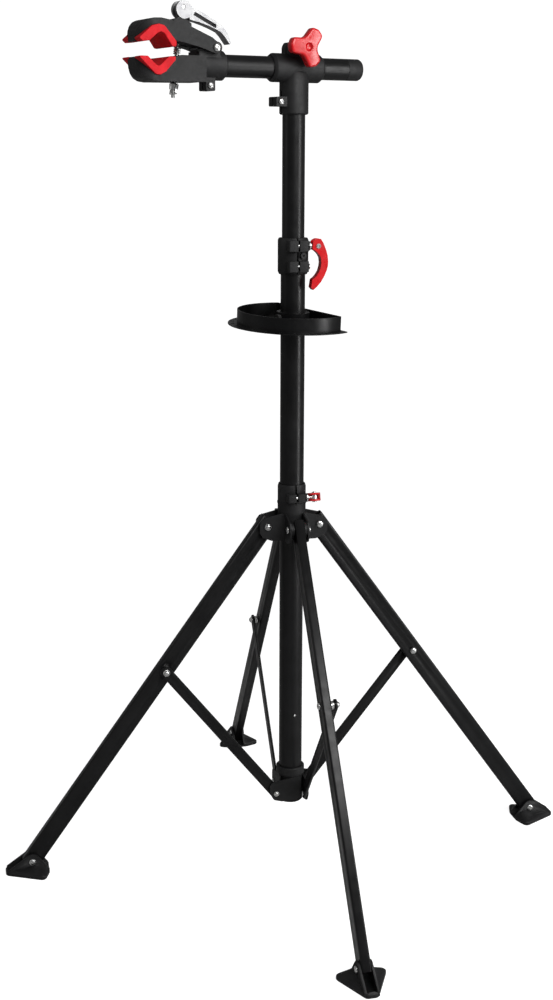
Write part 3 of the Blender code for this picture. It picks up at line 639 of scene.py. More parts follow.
def strut_bar(bracket, joint):
    """A flat bar that lies beside the leg and runs to the inside of its plate on the bracket."""
    span = joint - bracket
    near = STRUT_OFFSET - STRUT_THICK / 2
    far = STRUT_OFFSET + STRUT_THICK / 2
    r = STRUT_WIDTH / 2
    stadium = arc(0, 0, r, 90, 270, 16) + arc(span.length, 0, r, -90, 90, 16)
    bar = prism(stadium, -far, -near, axes(bracket, span, span.cross((0, 1, 0))))
    steps = []
    for point in (bracket, joint):
        steps.append(cut(rod(BOLT_HOLE_R, -30, 30, 20, Matrix.Translation(point) @ ACROSS)))
    return shaped(bar, steps)


def strut_bolt():
    """A domed bolt with a spacer between the leg and the strut."""
    half = LEG_WIDTH / 2 + GAP
    near = STRUT_OFFSET - STRUT_THICK / 2 - GAP
    far = STRUT_OFFSET + STRUT_THICK / 2 + GAP
    profile = dome(5.7, 3.2, -half - 1, -1)[::-1] + [(5.7, -half), (3, -half), (3, half), (6.5, half)]
    profile += [(6.5, near), (3, near), (3, far), (5.6, far), (5.6, far + 1.5)]
    profile += dome(4.6, 3.6, far + 1.5, 1)
    return shaped(turned(profile, 28))


def legs():
    hub, joint, ankle, bracket = leg_points()
    outer = HUB_PLATE + HUB_PLATE_THICK + GAP
    inside = STRUT_OFFSET - STRUT_THICK / 2 - GAP
    plate = BRACKET_PLATE + BRACKET_PLATE_THICK + GAP
    pieces = (
        ("leg", leg_tube(hub, joint, ankle), None, 0.35),
        ("strut", strut_bar(bracket, joint), None, 0.5),
        ("hub_bolt", bolt(5.8, 3.6, 3, -outer, outer, 5.4, 5), hub, 0.25),
        ("strut_bolt", strut_bolt(), joint, 0.25),
        ("foot_bolt", bolt(5.6, 3, 3, -11.4, 11.4, 5.4, 3, 3.4), ankle, 0.25),
        ("strut_pin", bolt(4.4, 2.6, 3, inside, plate, 4.4, 2.6), bracket, 0.2),
        ("foot", foot_mesh(), ankle, 0.7),
    )
    for name, mesh, point, soften in pieces:
        mesh = softened(mesh, soften, 3)
        for number, azimuth in enumerate(LEG_AZIMUTHS, 1):
            frame = turn(azimuth)
            if point is not None:
                frame = frame @ Matrix.Translation(point)
            if name.endswith(("bolt", "pin")):
                frame = frame @ ACROSS
            place(f"{name}_{number}", mesh, frame)


def foot_mesh():
    """A pad that is wide towards the mast and narrows to a nose; its two cheeks hold the leg."""
    sole = -FOOT_HEIGHT
    plan = [(43, 9), (-18, 40), (-27, 14), (-27, -14), (-18, -40), (43, -9)]
    edge = rounded(plan, [7, 7, 20, 20, 7, 7], 4)
    sections = []
    for height, length, width in (
        (0, 0.97, 0.97),
        (1.2, 1, 1),
        (5.5, 1, 1),
        (6.6, 0.985, 0.97),
        (8, 0.94, 0.82),
        (10, 0.9, 0.62),
        (13, 0.86, 0.42),
        (16, 0.8, 0.3),
    ):
        sections.append([(x * length, y * width, sole + height) for x, y in edge])
    cheek = [(-25, sole + 2), (41, sole + 2), (41, -13)] + arc(0, 0, 12.5, 50, 150, 14) + [(-24, -11)]
    steps = []
    for low in (-11.1, 7.9):
        steps.append(add(prism(cheek, low, low + 3.2, side())))
    channel = [(-40, -17.8), (35, -17.8), (39.5, -13.5), (44, 20), (-40, 20)]
    steps.append(cut(prism(channel, -7.9, 7.9, side())))
    steps.append(cut(rod(BOLT_HOLE_R, -20, 20, 20, ACROSS)))
    return shaped(loft(sections), steps)


# Hub and bottom bracket


def slit_frame(height):
    """x runs outwards along the slit, y across it and z up."""
    return turn(SLIT_AZIMUTH) @ Matrix.Translation((0, 0, height))


def pivot_frame(azimuth, pivot):
    return turn(azimuth) @ Matrix.Translation((pivot[0], 0, pivot[1])) @ ACROSS


def leg_hub():
    profile = [(HUB_BORE, HUB_FOOT_Z), (HUB_R, HUB_FOOT_Z), (HUB_R, HUB_TOP_Z - 4)]
    profile += [(HUB_R - 1.2, HUB_TOP_Z), (HUB_BORE, HUB_TOP_Z)]
    plate = [(10, 538), (36, 538), (50, 543), (55.5, 551)]
    plate += [(55.5, 567), (50, 574.5), (21, 581.5), (10, 581.5)]
    plate = rounded(plate, [0, 0, 5, 6, 6, 3, 0, 0], 4)
    inner = HUB_PLATE
    outer = HUB_PLATE + HUB_PLATE_THICK
    face = LEG_WIDTH / 2 + HUB_GAP
    near = inner + 1
    bend = [(near, near), (outer + 9, near), (outer + 9, outer - 0.5)]
    bend += arc(outer + 7.5, outer + 7.5, 8, 270, 180, 8) + [(outer - 0.5, outer + 9), (near, outer + 9)]
    steps = []
    for azimuth in LEG_AZIMUTHS:
        steps.append(add(prism(bend, 538.6, 579, turn(azimuth))))
        steps.append(add(prism(plate, inner, outer, turn(azimuth) @ side())))
        steps.append(add(prism(plate, -outer, -inner, turn(azimuth) @ side())))
        for low, high in ((-inner - 0.5, -face), (face, inner + 0.5)):
            steps.append(add(rod(12, low, high, 28, pivot_frame(azimuth, HUB_PIVOT))))
    rim = [(HUB_BORE, 596), (HUB_R + 0.8, 596), (HUB_R + 0.8, 598.5), (HUB_BORE, 598.5)]
    steps.append(add(turned(rim, ROUND_STEPS)))
    lug = rounded([(18, 1.2), (31, 1.2), (31, 15), (18, 15)], [0, 1, 2, 0], 4)
    for sign in (-1, 1):
        outline = [(x, sign * y) for x, y in lug]
        steps.append(add(prism(outline, -6.5, 6.5, slit_frame(HUB_BOLT_Z))))
    steps.append(cut(block((10, -1.5, -11), (40, 1.5, 30), slit_frame(HUB_BOLT_Z))))
    pinch = slit_frame(HUB_BOLT_Z) @ Matrix.Translation((SLIT_BOLT_R, 0, 0)) @ ACROSS
    steps.append(cut(rod(BOLT_HOLE_R, -9.6, 30, 20, pinch)))
    steps.append(cut(rod(HUB_BORE, 500, 700, ROUND_STEPS)))
    for azimuth in LEG_AZIMUTHS:
        steps.append(cut(rod(BOLT_HOLE_R, -30, 30, 20, pivot_frame(azimuth, HUB_PIVOT))))
    place("leg_hub", shaped(turned(profile, ROUND_STEPS), steps), None, 0.45, 2)


def bottom_bracket():
    """A sleeve at the foot of the mast with a rim, and beside it a flat plate for each strut."""
    bore = MAIN_R + GAP
    profile = [
        (bore, MAIN_FOOT_Z + 0.5),
        (BRACKET_R - 1, MAIN_FOOT_Z + 0.5),
        (BRACKET_R, MAIN_FOOT_Z + 1.5),
        (BRACKET_R, BRACKET_TOP_Z - 16),
        (BRACKET_RIM_R, BRACKET_TOP_Z - 13),
        (BRACKET_RIM_R, BRACKET_TOP_Z - 1),
        (BRACKET_RIM_R - 1, BRACKET_TOP_Z),
        (bore, BRACKET_TOP_Z),
    ]
    plate = [(-13.5, 93), (-7, 87.2), (20, 87.2), (33, 91), (40, 103), (40, 117), (36, 121.5)]
    plate = rounded(plate + [(-13.5, 131)], [4, 4, 5, 6, 5, 4, 4, 0], 4)
    outer = BRACKET_PLATE + BRACKET_PLATE_THICK
    steps = [add(prism(plate, BRACKET_PLATE, outer, turn(azimuth) @ side())) for azimuth in LEG_AZIMUTHS]
    for azimuth in LEG_AZIMUTHS:
        steps.append(cut(rod(BOLT_HOLE_R, 10, 30, 20, pivot_frame(azimuth, BRACKET_PIVOT))))
    steps.append(cut(rod(bore, 60, 160, ROUND_STEPS)))
    place("bottom_bracket", shaped(turned(profile, ROUND_STEPS), steps), None, 0.4, 2)


# Upper collar and the two quick-release levers


def upper_collar():
    top_bore = UPPER_R + GAP
    bore = MAIN_R + GAP
    step = MAIN_TOP_Z + 0.6
    profile = [(bore, COLLAR_FOOT_Z), (COLLAR_R - 2, COLLAR_FOOT_Z), (COLLAR_R, COLLAR_FOOT_Z + 4)]
    profile += [(COLLAR_R, COLLAR_TOP_Z - 3), (COLLAR_R - 1.5, COLLAR_TOP_Z), (top_bore, COLLAR_TOP_Z)]
    profile += [(top_bore, step), (bore, step)]
    steps = []
    lug = rounded([(18, 0.6), (31.5, 0.6), (31.5, 16), (18, 16)], [0, 1, 2, 0], 4)
    for height in (COLLAR_BOLT_Z, COLLAR_SCREW_Z):
        for sign in (-1, 1):
            outline = [(x, sign * y) for x, y in lug]
            steps.append(add(prism(outline, -8, 8, slit_frame(height))))
    boss = turn(SLIT_AZIMUTH + 19) @ Matrix.Translation((20, 0, 988))
    boss = boss @ Matrix.Rotation(math.radians(90), 4, "Y")
    steps.append(add(rod(5, 0, 7.5, 24, boss)))
    steps.append(cut(rod(1.6, 5, 12, 16, boss)))
    for height in (COLLAR_BOLT_Z, COLLAR_SCREW_Z):
        pinch = slit_frame(height) @ Matrix.Translation((SLIT_BOLT_R, 0, 0)) @ ACROSS
        steps.append(cut(rod(BOLT_HOLE_R, -9.6, 30, 20, pinch)))
    steps.append(cut(rod(bore, COLLAR_FOOT_Z - 20, step, ROUND_STEPS)))
    steps.append(cut(block((8, -1.3, -60), (40, 1.3, 40), slit_frame(COLLAR_BOLT_Z))))
    place("upper_collar", shaped(turned(profile, ROUND_STEPS), steps), None, 0.6, 3)

    pinch = slit_frame(COLLAR_SCREW_Z) @ Matrix.Translation((SLIT_BOLT_R, 0, 0)) @ ACROSS
    place("collar_screw", bolt(4.6, 2.2, 3, -16.4, 9), pinch @ FLIP, 0.2)


LEVER = [
    (-8.7, 7.4),
    (-6.3, 9.6),
    (-1.8, 11.4),
    (4, 10.6),
    (8, 4.6),
    (10.6, -1.4),
    (13.2, -8),
    (15, -14.6),
    (16, -23.6),
    (15.6, -30.2),
    (14, -36.4),
    (10, -45.6),
    (4.7, -54.3),
    (-1.4, -61.2),
    (-7.8, -66.6),
    (-11.4, -62.6),
    (-9.5, -50.5),
    (-5.4, -47.6),
    (-2, -44),
    (1.8, -38),
    (4, -31.3),
    (4.7, -25),
    (4, -18.5),
    (1.6, -13.6),
    (-2, -9.6),
    (-5.6, -6.8),
    (-9.6, -4.8),
]


def quick_release(name, height, reach, hang, half):
    """The clamp bolt with its cross barrel, and the lever on it; hang turns the lever about the bolt."""
    frame = slit_frame(height) @ Matrix.Translation((SLIT_BOLT_R, 0, 0))
    shank = [(0, -9), (3, -9), (3, half + GAP), (7, half + GAP)]
    shank += [(7, half + 2), (3, half + 2), (3, reach), (0, reach)]
    pin = axes((0, reach, 0), (0, 1, 0), (0, 0, 1))
    about = Matrix.Rotation(math.radians(hang), 4, "Y")
    steps = [add(rod(5, -3, 3, 24, about @ pin)), add(rod(2, -8, 8, 20, about @ pin))]
    for low, high in ((6.85, 8), (-8, -6.85)):
        steps.append(add(rod(3.6, low, high, 28, about @ pin)))
    steps.append(cut(prism(hexagon(3), 7.2, 9, about @ pin)))
    steps.append(cut(prism(hexagon(3), -9, -7.2, about @ pin)))
    place(f"{name}_bolt", shaped(turned(shank, 28, ACROSS), steps), frame, 0.2, 2)

    slot = prism([(-14, -9), (6.2, -9), (6.2, 1), (14, 14), (-14, 16)], -3.4, 3.4, pin)
    steps = [cut(slot), cut(rod(2.6, -12, 12, 20, pin))]
    place(f"{name}_lever", shaped(prism(LEVER, -6.5, 6.5, pin), steps), frame @ about, 1.3, 4)


# Tray


def d_outline(radius, chord, steps, corner):
    """A disc cut by the line x = chord."""
    start = math.degrees(math.acos(chord / radius))
    points = arc(0, 0, radius, start, 360 - start, steps)
    return rounded(points, [corner] + [0] * (len(points) - 2) + [corner], 4)


def tool_tray():
    lean = Matrix.Rotation(math.radians(TRAY_TILT_AZIMUTH - TRAY_AZIMUTH), 4, "Z")
    lean = lean @ Matrix.Rotation(TRAY_TILT, 4, "Y") @ lean.inverted()
    frame = Matrix.Translation((0, 0, TRAY_Z)) @ turn(TRAY_AZIMUTH) @ lean
    flange = prism(d_outline(TRAY_FLANGE_R, TRAY_CHORD + 2, 90, 4), 0, 1.6)
    ring = prism(d_outline(TRAY_RING_R, TRAY_CHORD, 90, 5), 0.8, TRAY_WALL)
    inside = prism(d_outline(TRAY_RING_R - 1.8, TRAY_CHORD - 1.8, 90, 3), 1.7, TRAY_WALL + 9)
    upright = (turn(TRAY_AZIMUTH) @ lean).inverted()
    steps = [add(ring), cut(inside), add(rod(25.5, 0.7, TRAY_WALL - 2, 48))]
    steps.append(cut(rod(MAIN_R + 0.6, -9, TRAY_WALL + 9, ROUND_STEPS, upright)))
    for i in range(13):
        spoke = math.radians(96 + 14 * i)
        spot = Matrix.Translation((94.2 * math.cos(spoke), 94.2 * math.sin(spoke), 0))
        steps.append(cut(rod(3, -4, 6, 20, spot)))
    screw = Matrix.Rotation(math.radians(180), 4, "Z") @ Matrix.Translation((0, 0, 12))
    screw = screw @ Matrix.Rotation(math.radians(90), 4, "Y")
    steps.append(cut(rod(3.1, 10, 30, 20, screw)))
    place("tool_tray", shaped(flange, steps), frame, 0.5, 3)

    grip = [(6.5 + 0.35 * math.cos(12 * a), a) for a in (2 * math.pi * i / 96 for i in range(96))]
    handle = [(r * math.cos(a), r * math.sin(a)) for r, a in grip]
    steps = [add(rod(2.5, 20.2, 27, 20))]
    place("tray_screw", shaped(prism(handle, 26, 32), steps), frame @ screw, 0.5, 2)


# Head


def head_frame():
    return Matrix.Translation((0, 0, ARM_Z)) @ turn(ARM_AZIMUTH)


def along_arm():
    """The frame whose z runs along +X of the frame it is in, which for the head is along the arm."""
    return Matrix.Rotation(math.radians(90), 4, "Y")


def across_arm(x, z):
    """z of this frame runs across the arm, to its near side."""
    return Matrix.Translation((x, 0, z)) @ ACROSS


def head_tee():
    bore = ARM_R + GAP
    barrel = [(0, -44), (TEE_R - 3, -44), (TEE_R, -40), (TEE_R, 38), (TEE_R - 3, 42), (0, 42)]
    stem = [(0, TEE_FOOT), (TEE_SLEEVE_R - 2, TEE_FOOT), (TEE_SLEEVE_R, TEE_FOOT + 2)]
    stem += [(TEE_SLEEVE_R, -8), (13.1, 7.3), (0, 7.3)]
    steps = [add(turned(stem, ROUND_STEPS, turn(2)))]
    ear = [(-14, 10), (14, 10), (14, 30), (10, 37), (-10, 37), (-14, 30)]
    ear = rounded(ear, [0, 0, 5, 5, 5, 5], 4)
    lug = rounded([(15, -55.5), (36.5, -55.5), (36.5, -41.5), (15, -41.5)], [0, 2, 2, 0], 4)
    for sign in (-1, 1):
        low, high = sorted((sign * 0.5, sign * 13.5))
        steps.append(add(prism(ear, low, high, side())))
        low, high = sorted((sign * 0.5, sign * 12))
        steps.append(add(prism(lug, low, high, side())))
    steps.append(cut(rod(bore, -60, 60, ROUND_STEPS, along_arm())))
    steps.append(cut(rod(UPPER_R + 0.5, TEE_FOOT - 9, -22.3, ROUND_STEPS)))
    steps.append(cut(block((-60, -1.5, 5), (60, 1.5, 50))))
    steps.append(cut(block((5, -1.5, -90), (50, 1.5, -33))))
    steps.append(cut(rod(4.8, -30, 30, 20, across_arm(0, KNOB_Z))))
    steps.append(cut(rod(3.1, -30, 30, 20, across_arm(28.3, -48.5))))
    mesh = shaped(turned(barrel, ROUND_STEPS, along_arm()), steps)
    place("head_tee", mesh, head_frame(), 0.8, 3)

    pinch = head_frame() @ across_arm(28.3, -48.5) @ FLIP
    place("tee_pinch_bolt", bolt(4.8, 3.2, 2.5, -12.4, 12.4, 4.8, 3, 3), pinch, 0.2)


def knob_outline():
    lobes = []
    for i in range(3):
        for angle, radius in ((-22, 0.96), (0, 1), (22, 0.96), (60, 0.47)):
            spoke = math.radians(120 * i - 5 + angle)
            lobes.append((KNOB_R * radius * math.cos(spoke), KNOB_R * radius * math.sin(spoke)))
    return rounded(lobes, [6, 8, 6, 12] * 3, 8)


def knob():
    """Three lobes with full round edges, a dished face and a turned boss behind."""
    outline = knob_outline()
    round_r = 3.4
    low = 30.0
    high = 44.5
    sections = []
    for i in range(6):
        a = math.radians(90 * i / 5)
        sections.append((low + round_r * (1 - math.sin(a)), round_r * (1 - math.cos(a))))
    sections = sections[::-1]
    for i in range(6):
        a = math.radians(90 * i / 5)
        sections.append((high - round_r * (1 - math.sin(a)), round_r * (1 - math.cos(a))))
    rings = [[(x, y, height) for x, y in offset(outline, -inset)] for height, inset in sections]
    steps = [add(turned([(0, 14.2), (9, 14.2), (10.5, 31), (0, 31)], 40))]
    steps.append(cut(rod(4.8, 5, 38.5, 20)))
    steps.append(cut(turned([(0, 40.8), (3, 41), (4.6, 42), (6.6, 45), (6.6, 48), (0, 48)], 40)))
    frame = head_frame() @ across_arm(0, KNOB_Z)
    place("knob", shaped(loft(rings), steps), frame, 0.5, 3)
    place("knob_bolt", bolt(7, 4, 4, -13.9, 38), frame, 0.3)


def arm():
    wall = ARM_R - 1.5
    tube("arm_tube", ARM_R, wall, -88, 160, head_frame() @ along_arm())
    profile = [(0, -115), (11, -115), (14.5, -113.5), (ARM_R, -110.5), (ARM_R, -88 - GAP)]
    profile += [(wall - GAP, -88 - GAP), (wall - GAP, -70), (0, -70)]
    mesh = shaped(turned(profile, ROUND_STEPS, along_arm()))
    place("arm_end_cap", mesh, head_frame(), 0.6, 3)


LOWER_PAD = [
    (209.3, 8.8),
    (209.3, 4.5),
    (224.5, -11.5),
    (233, -16),
    (240, -15.5),
    (266.5, 8.8),
    (252, 8.8),
    (239, -3.2),
    (235.5, -4.2),
    (232, -2.4),
    (219.5, 8.8),
]
UPPER_PAD = [
    (207.6, 24),
    (210, 22),
    (214.5, 22.5),
    (226, 39.2),
    (231, 41.6),
    (236, 39.8),
    (249, 29.2),
    (259.5, 28.2),
    (265, 32.6),
    (244.5, 49.6),
    (234, 52),
    (225.6, 50),
    (207.6, 29.5),
]


def nose():
    """The plan of both jaws: straight sides and a nose like a bow."""
    quadrant = arc(0, 0, 1, -90, 90, NOSE_STEPS)
    front = [(NOSE_X + NOSE_REACH * max(x, 0) ** NOSE_POWER, NOSE_HALF * y) for x, y in quadrant]
    return prism([(100, -NOSE_HALF)] + front + [(100, NOSE_HALF)], -100, 100)


def lower_jaw():
    bore = ARM_R + GAP
    x, z = JAW_PIVOT
    sleeve = [(0, 120), (18.5, 120), (21, 122.5), (21, 167), (0, 167)]
    body = [(160, -24), (234, -24.8), (243, -23.5), (251.5, -19.8), (258, -13.5), (262.5, -5), (264, 5)]
    body += [(262, 9), (207, 9.2), (199, 11.6), (160, 11.6)]
    body = rounded(body, [0, 10, 10, 10, 10, 8, 3, 2, 1, 1, 0], 4)
    steps = [add(prism(body, -JAW_HALF, JAW_HALF, side()))]
    ear = [(131.5, 10), (166, 10), (166, 18)] + arc(x, z, 8, 0, 180, 14)
    steps.append(add(prism(ear, -18, 18, side())))
    lug = rounded([(138, -10), (138, -35.8), (152.5, -35.8), (152.5, -10)], [0, 2, 2, 0], 4)
    for low, high in ((-12, -0.5), (0.5, 12)):
        steps.append(add(prism(lug, low, high, side())))
    steps.append(cut(rod(bore, 100, 163, ROUND_STEPS, along_arm())))
    steps.append(cut(block((110, -1.5, -50), (158, 1.5, -10))))
    steps.append(cut(prism(offset(LOWER_PAD, GAP), -40, 40, side())))
    steps.append(add(block((LIP_X, -LIP_HALF, -5), (262.4, LIP_HALF, 8.4))))
    steps.append(keep(nose()))
    notch = [(214, 6), (230, -8), (234, -10), (239, -9), (256, 6), (256, 20), (214, 20)]
    steps.append(cut(prism(notch, -40, 40, side())))
    steps.append(cut(block((187, -4.6, -60), (203.5, 4.6, 60))))
    steps.append(cut(rod(BOLT_HOLE_R, -40, 40, 20, across_arm(x, z))))
    steps.append(cut(rod(3.1, -30, 30, 20, across_arm(145.3, -28))))
    mesh = shaped(turned(sleeve, ROUND_STEPS, along_arm()), steps)
    place("lower_jaw", mesh, head_frame(), 0.9, 3)
    pad = rounded(LOWER_PAD, [1, 1, 5, 6, 6, 1.5, 1.5, 2, 2, 2, 1], 4)
    steps = [cut(block((LIP_X - GAP, -LIP_HALF - GAP, -20), (290, LIP_HALF + GAP, 20)))]
    place("lower_pad", shaped(prism(pad, -PAD_HALF, PAD_HALF, side()), steps), head_frame(), 1.1, 4)

    pinch = head_frame() @ across_arm(145.3, -28) @ FLIP
    place("clamp_pinch_bolt", bolt(4.8, 3.2, 2.5, -12.4, 12.4, 4.8, 3, 3), pinch, 0.2)


def upper_jaw():
    x, z = JAW_PIVOT
    top = [(150, 37), (188, 52.3), (213, 57.9), (229, 60.5), (242, 60), (251, 56.5), (258, 50.5), (262.6, 43)]
    under = [(264, 36.5), (258, 33), (254, 31), (207.4, 31), (197, 29.2), (166, 22.2), (149, 16.5)]
    outline = top + under + arc(x, z, 8.2, -60, -270, 14)
    radii = [0, 12, 16, 20, 14, 12, 10, 6, 2, 1, 0, 1, 3, 3, 0]
    shell = rounded(outline, radii + [0] * 15, 5)
    steps = [cut(block((120, -18.4, 0), (168, 18.4, 70)))]
    steps.append(cut(prism(offset(UPPER_PAD, GAP), -40, 40, side())))
    steps.append(add(block((LIP_X, -LIP_HALF, 28.8), (263, LIP_HALF, 40))))
    steps.append(keep(nose()))
    notch = [(211, 15), (256, 15), (256, 31), (250, 33), (238, 44), (226, 45), (211, 25)]
    steps.append(cut(prism(notch, -40, 40, side())))
    steps.append(cut(block((177, -4.6, -60), (195.8, 4.6, 90))))
    steps.append(cut(rod(BOLT_HOLE_R, -40, 40, 20, across_arm(x, z))))
    mesh = shaped(prism(shell, -JAW_HALF, JAW_HALF, side()), steps)
    place("upper_jaw", mesh, head_frame(), 0.9, 3)
    pad = rounded(UPPER_PAD, [1, 1, 2, 2, 2, 2, 1.5, 1.5, 2, 5, 6, 5, 1], 4)
    steps = [cut(block((LIP_X - GAP, -LIP_HALF - GAP, 20), (290, LIP_HALF + GAP, 70)))]
    place("upper_pad", shaped(prism(pad, -PAD_HALF, PAD_HALF, side()), steps), head_frame(), 1.1, 4)

    half = JAW_HALF + GAP
    pivot = head_frame() @ across_arm(x, z) @ FLIP
    place("jaw_pivot_bolt", bolt(5.8, 3.4, 3, -half, half, 5.2, 4, 3.4), pivot, 0.25)


def rod_frame():
    """Origin at the cam pin; z runs down the clamp rod."""
    down = Vector((ROD_FOOT[0] - CAM_PIN[0], 0, ROD_FOOT[1] - CAM_PIN[1]))
    return axes((CAM_PIN[0], 0, CAM_PIN[1]), Vector((0, 1, 0)).cross(down), (0, 1, 0))


def thread(radius, depth, pitch, low, high, per_turn=8, around=24):
    """A helical thread along z, on a core of the radius less the depth."""
    rings = []
    count = int((high - low) / pitch * per_turn)
    for i in range(count + 1):
        z = low + (high - low) * i / count
        ring = []
        for j in range(around):
            phase = (z / pitch - j / around) % 1
            r = radius - depth * abs(2 * phase - 1)
            ring.append((r * math.cos(2 * math.pi * j / around), r * math.sin(2 * math.pi * j / around), z))
        rings.append(ring)
    return loft(rings)


def coil(turns, pitch, radius, wire, start):
    """Wire sections of a spring about z."""
    section = [2 * math.pi * i / 10 for i in range(10)]
    path = []
    for i in range(turns * 28 + 1):
        spoke = 2 * math.pi * i / 28
        out = Vector((math.cos(spoke), math.sin(spoke), 0))
        centre = out * radius + UP * (start + pitch * i / 28)
        path.append([centre + out * wire * math.cos(a) + UP * wire * math.sin(a) for a in section])
    return path


def clamp_rod():
    frame = head_frame() @ rod_frame()
    length = math.dist(CAM_PIN, ROD_FOOT)
    cross = Matrix.Rotation(math.radians(90), 4, "X")
    steps = [add(rod(5.5, -3.6, 3.6, 28, cross)), add(rod(2.5, -8.6, 8.6, 24, cross))]
    steps.append(add(rod(2.6, 0, 32, 24)))
    place("clamp_rod", shaped(thread(3, 0.55, 1.25, 30, length), steps), frame)

    top = 104.2
    wing = [(4, top + 1), (9, top + 2), (13.5, top + 15), (8.5, top + 16)]
    wing = rounded(wing, [0.5, 2, 2.4, 2.4], 4)
    nut = [(0, top), (5, top), (6.8, top + 1.5), (6.2, top + 9), (0, top + 9)]
    steps = []
    for half in (0, 180):
        steps.append(add(prism(wing, -1.3, 1.3, turn(half + 95) @ side())))
    steps.append(cut(rod(BOLT_HOLE_R, top - 9, top + 30, 20)))
    place("wing_nut", shaped(turned(nut, 28), steps), frame, 0.5, 3)
    place("rod_spring", shaped(loft(coil(4, 2.8, 4.6, 0.75, 53.4))), frame)


def cam():
    x, z = CAM_PIN
    cx = x - 1.2
    cz = z - 3.2
    back = [(176, 61), (163, 58.6), (150, 55), (138, 50.8), (127.5, 46.5), (121, 40.5), (116, 34)]
    tip = [(112.5, 29.5), (110.5, 31), (112.5, 38)]
    front = [(116, 45), (121, 51), (132, 59.4), (144, 66), (157, 72.4), (170, 76.5), (180, 78)]
    handle = back + tip + front
    slot = [(200, 50), (200, 100), (176, 100), (170, 78), (176, 50)]
    window = rounded([(134, 50.5), (134, 56), (168, 72), (171, 67)], 1.5, 4)
    steps = [add(prism(handle, -9, 9, side()))]
    steps.append(cut(prism(slot, -4, 4, side())))
    steps.append(cut(rod(3.1, -20, 20, 20, across_arm(x, z))))
    steps.append(cut(prism(window, -12, 12, side())))
    mesh = shaped(prism(circle(cx, cz, 12.5, 56), -9, 9, side()), steps)
    place("cam_lever", mesh, head_frame(), 0.9, 3)

    rest = [(173, 49.6), (201, 56.6), (200, 61.5)] + arc(cx, cz, 12.9, -58, -105, 12)
    rest += [(176, 58), (173, 56)]
    steps = [cut(block((179.5, -4.2, 40), (193.5, 4.2, 70)))]
    place("cam_saddle", shaped(prism(rest, -8.5, 8.5, side()), steps), head_frame(), 0.4, 2)


# Stage


def direction(heading, lift):
    """The unit vector at a heading from +X and a lift above the floor, in degrees."""
    heading = math.radians(heading)
    lift = math.radians(lift)
    return Vector((math.cos(heading) * math.cos(lift), math.sin(heading) * math.cos(lift), math.sin(lift)))


def floor():
    """A pale floor that curves up far behind the stand and glows only to the camera."""
    bm = bmesh.new()
    grid = bmesh.ops.create_grid(bm, x_segments=24, y_segments=24, size=FLOOR_HALF)
    ahead = direction(CAMERA_HEADING, 0)
    for vert in grid["verts"]:
        beyond = vert.co.dot(ahead) - FLOOR_FLAT
        if beyond > 0:
            vert.co -= ahead * beyond * FLOOR_DRAW_IN
            vert.co.z += FLOOR_RISE * beyond * beyond
    mesh = bpy.data.meshes.new("floor")
    bm.to_mesh(mesh)
    bm.free()
    for face in mesh.polygons:
        face.use_smooth = True
    made, shader = new_material("pale_floor", (FLOOR_GREY, FLOOR_GREY, FLOOR_GREY), 0.9)
    shader.inputs["Specular IOR Level"].default_value = 0.1
    shader.inputs["Emission Color"].default_value = (1, 1, 1, 1)
    seen = made.node_tree.nodes.new("ShaderNodeLightPath")
    glow = made.node_tree.nodes.new("ShaderNodeMath")
    glow.operation = "MULTIPLY"
    glow.inputs[1].default_value = FLOOR_GLOW
    made.node_tree.links.new(seen.outputs["Is Camera Ray"], glow.inputs[0])
    made.node_tree.links.new(glow.outputs["Value"], shader.inputs["Emission Strength"])
    mesh.materials.append(made)
    obj = bpy.data.objects.new("floor", mesh)
    bpy.context.scene.collection.objects.link(obj)


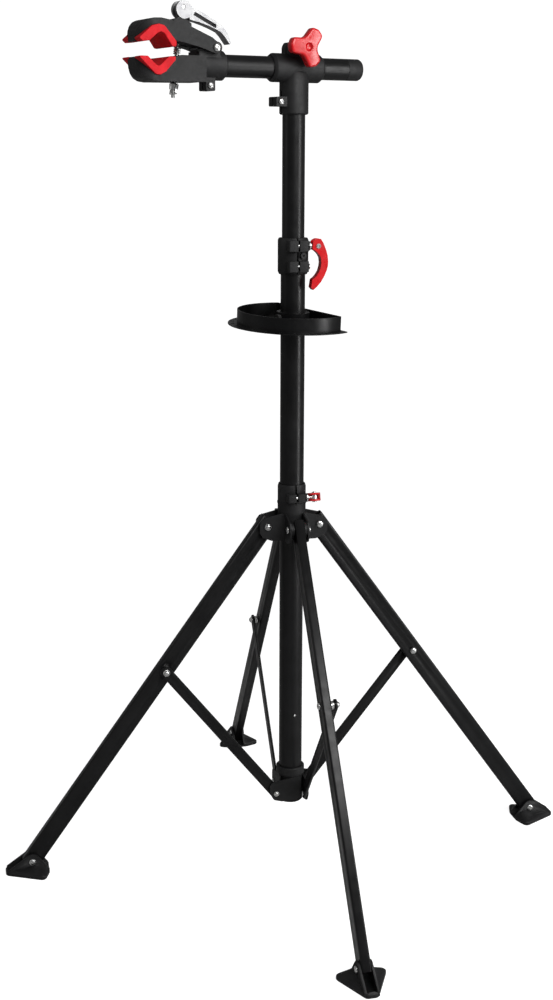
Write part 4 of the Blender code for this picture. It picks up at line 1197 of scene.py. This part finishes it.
def softbox(name, azimuth, elevation, distance, size, power):
    """An area light aimed at the middle of the stand."""
    out = direction(CAMERA_HEADING + 180 + azimuth, elevation)
    data = bpy.data.lights.new(name, "AREA")
    data.shape = "RECTANGLE"
    data.size = size[0]
    data.size_y = size[1]
    data.energy = power
    obj = bpy.data.objects.new(name, data)
    obj.location = UP * AIM_Z + out * distance
    obj.rotation_euler = (-out).to_track_quat("-Z", "Y").to_euler()
    bpy.context.scene.collection.objects.link(obj)


def studio():
    """The lights, and a backdrop that is white to the camera and dim to everything else."""
    for name, values in LIGHTS.items():
        softbox(name, *values)
    world = bpy.data.worlds.new("studio")
    world.use_nodes = True
    nodes = world.node_tree.nodes
    links = world.node_tree.links
    dim = nodes["Background"]
    dim.inputs["Color"].default_value = (1, 1, 1, 1)
    dim.inputs["Strength"].default_value = WORLD_DIM
    white = nodes.new("ShaderNodeBackground")
    white.inputs["Strength"].default_value = WORLD_WHITE
    white.inputs["Color"].default_value = (1, 1, 1, 1)
    path = nodes.new("ShaderNodeLightPath")
    mixed = nodes.new("ShaderNodeMixShader")
    links.new(path.outputs["Is Camera Ray"], mixed.inputs["Fac"])
    links.new(dim.outputs["Background"], mixed.inputs[1])
    links.new(white.outputs["Background"], mixed.inputs[2])
    links.new(mixed.outputs["Shader"], nodes["World Output"].inputs["Surface"])
    bpy.context.scene.world = world
    bpy.context.scene.view_settings.view_transform = "Standard"


def camera():
    ahead = direction(CAMERA_HEADING, CAMERA_PITCH)
    right = ahead.cross(UP).normalized()
    right.rotate(Matrix.Rotation(math.radians(-CAMERA_ROLL), 3, ahead))
    matrix = Matrix((right, right.cross(ahead), -ahead)).transposed().to_4x4()
    matrix.translation = Vector(CAMERA_AT)
    data = bpy.data.cameras.new("camera")
    data.lens = CAMERA_LENS
    data.sensor_width = CAMERA_SENSOR
    obj = bpy.data.objects.new("camera", data)
    obj.matrix_world = matrix
    bpy.context.scene.collection.objects.link(obj)
    bpy.context.scene.camera = obj


def main():
    camera()
    mast()
    mast_rivet()
    legs()
    leg_hub()
    bottom_bracket()
    upper_collar()
    quick_release("collar", COLLAR_BOLT_Z, LEVER_REACH, 0, 16)
    quick_release("hub", HUB_BOLT_Z, HUB_LEVER_REACH, HUB_LEVER_HANG, 15)
    tool_tray()
    head_tee()
    knob()
    arm()
    lower_jaw()
    upper_jaw()
    clamp_rod()
    cam()
    floor()
    studio()


main()
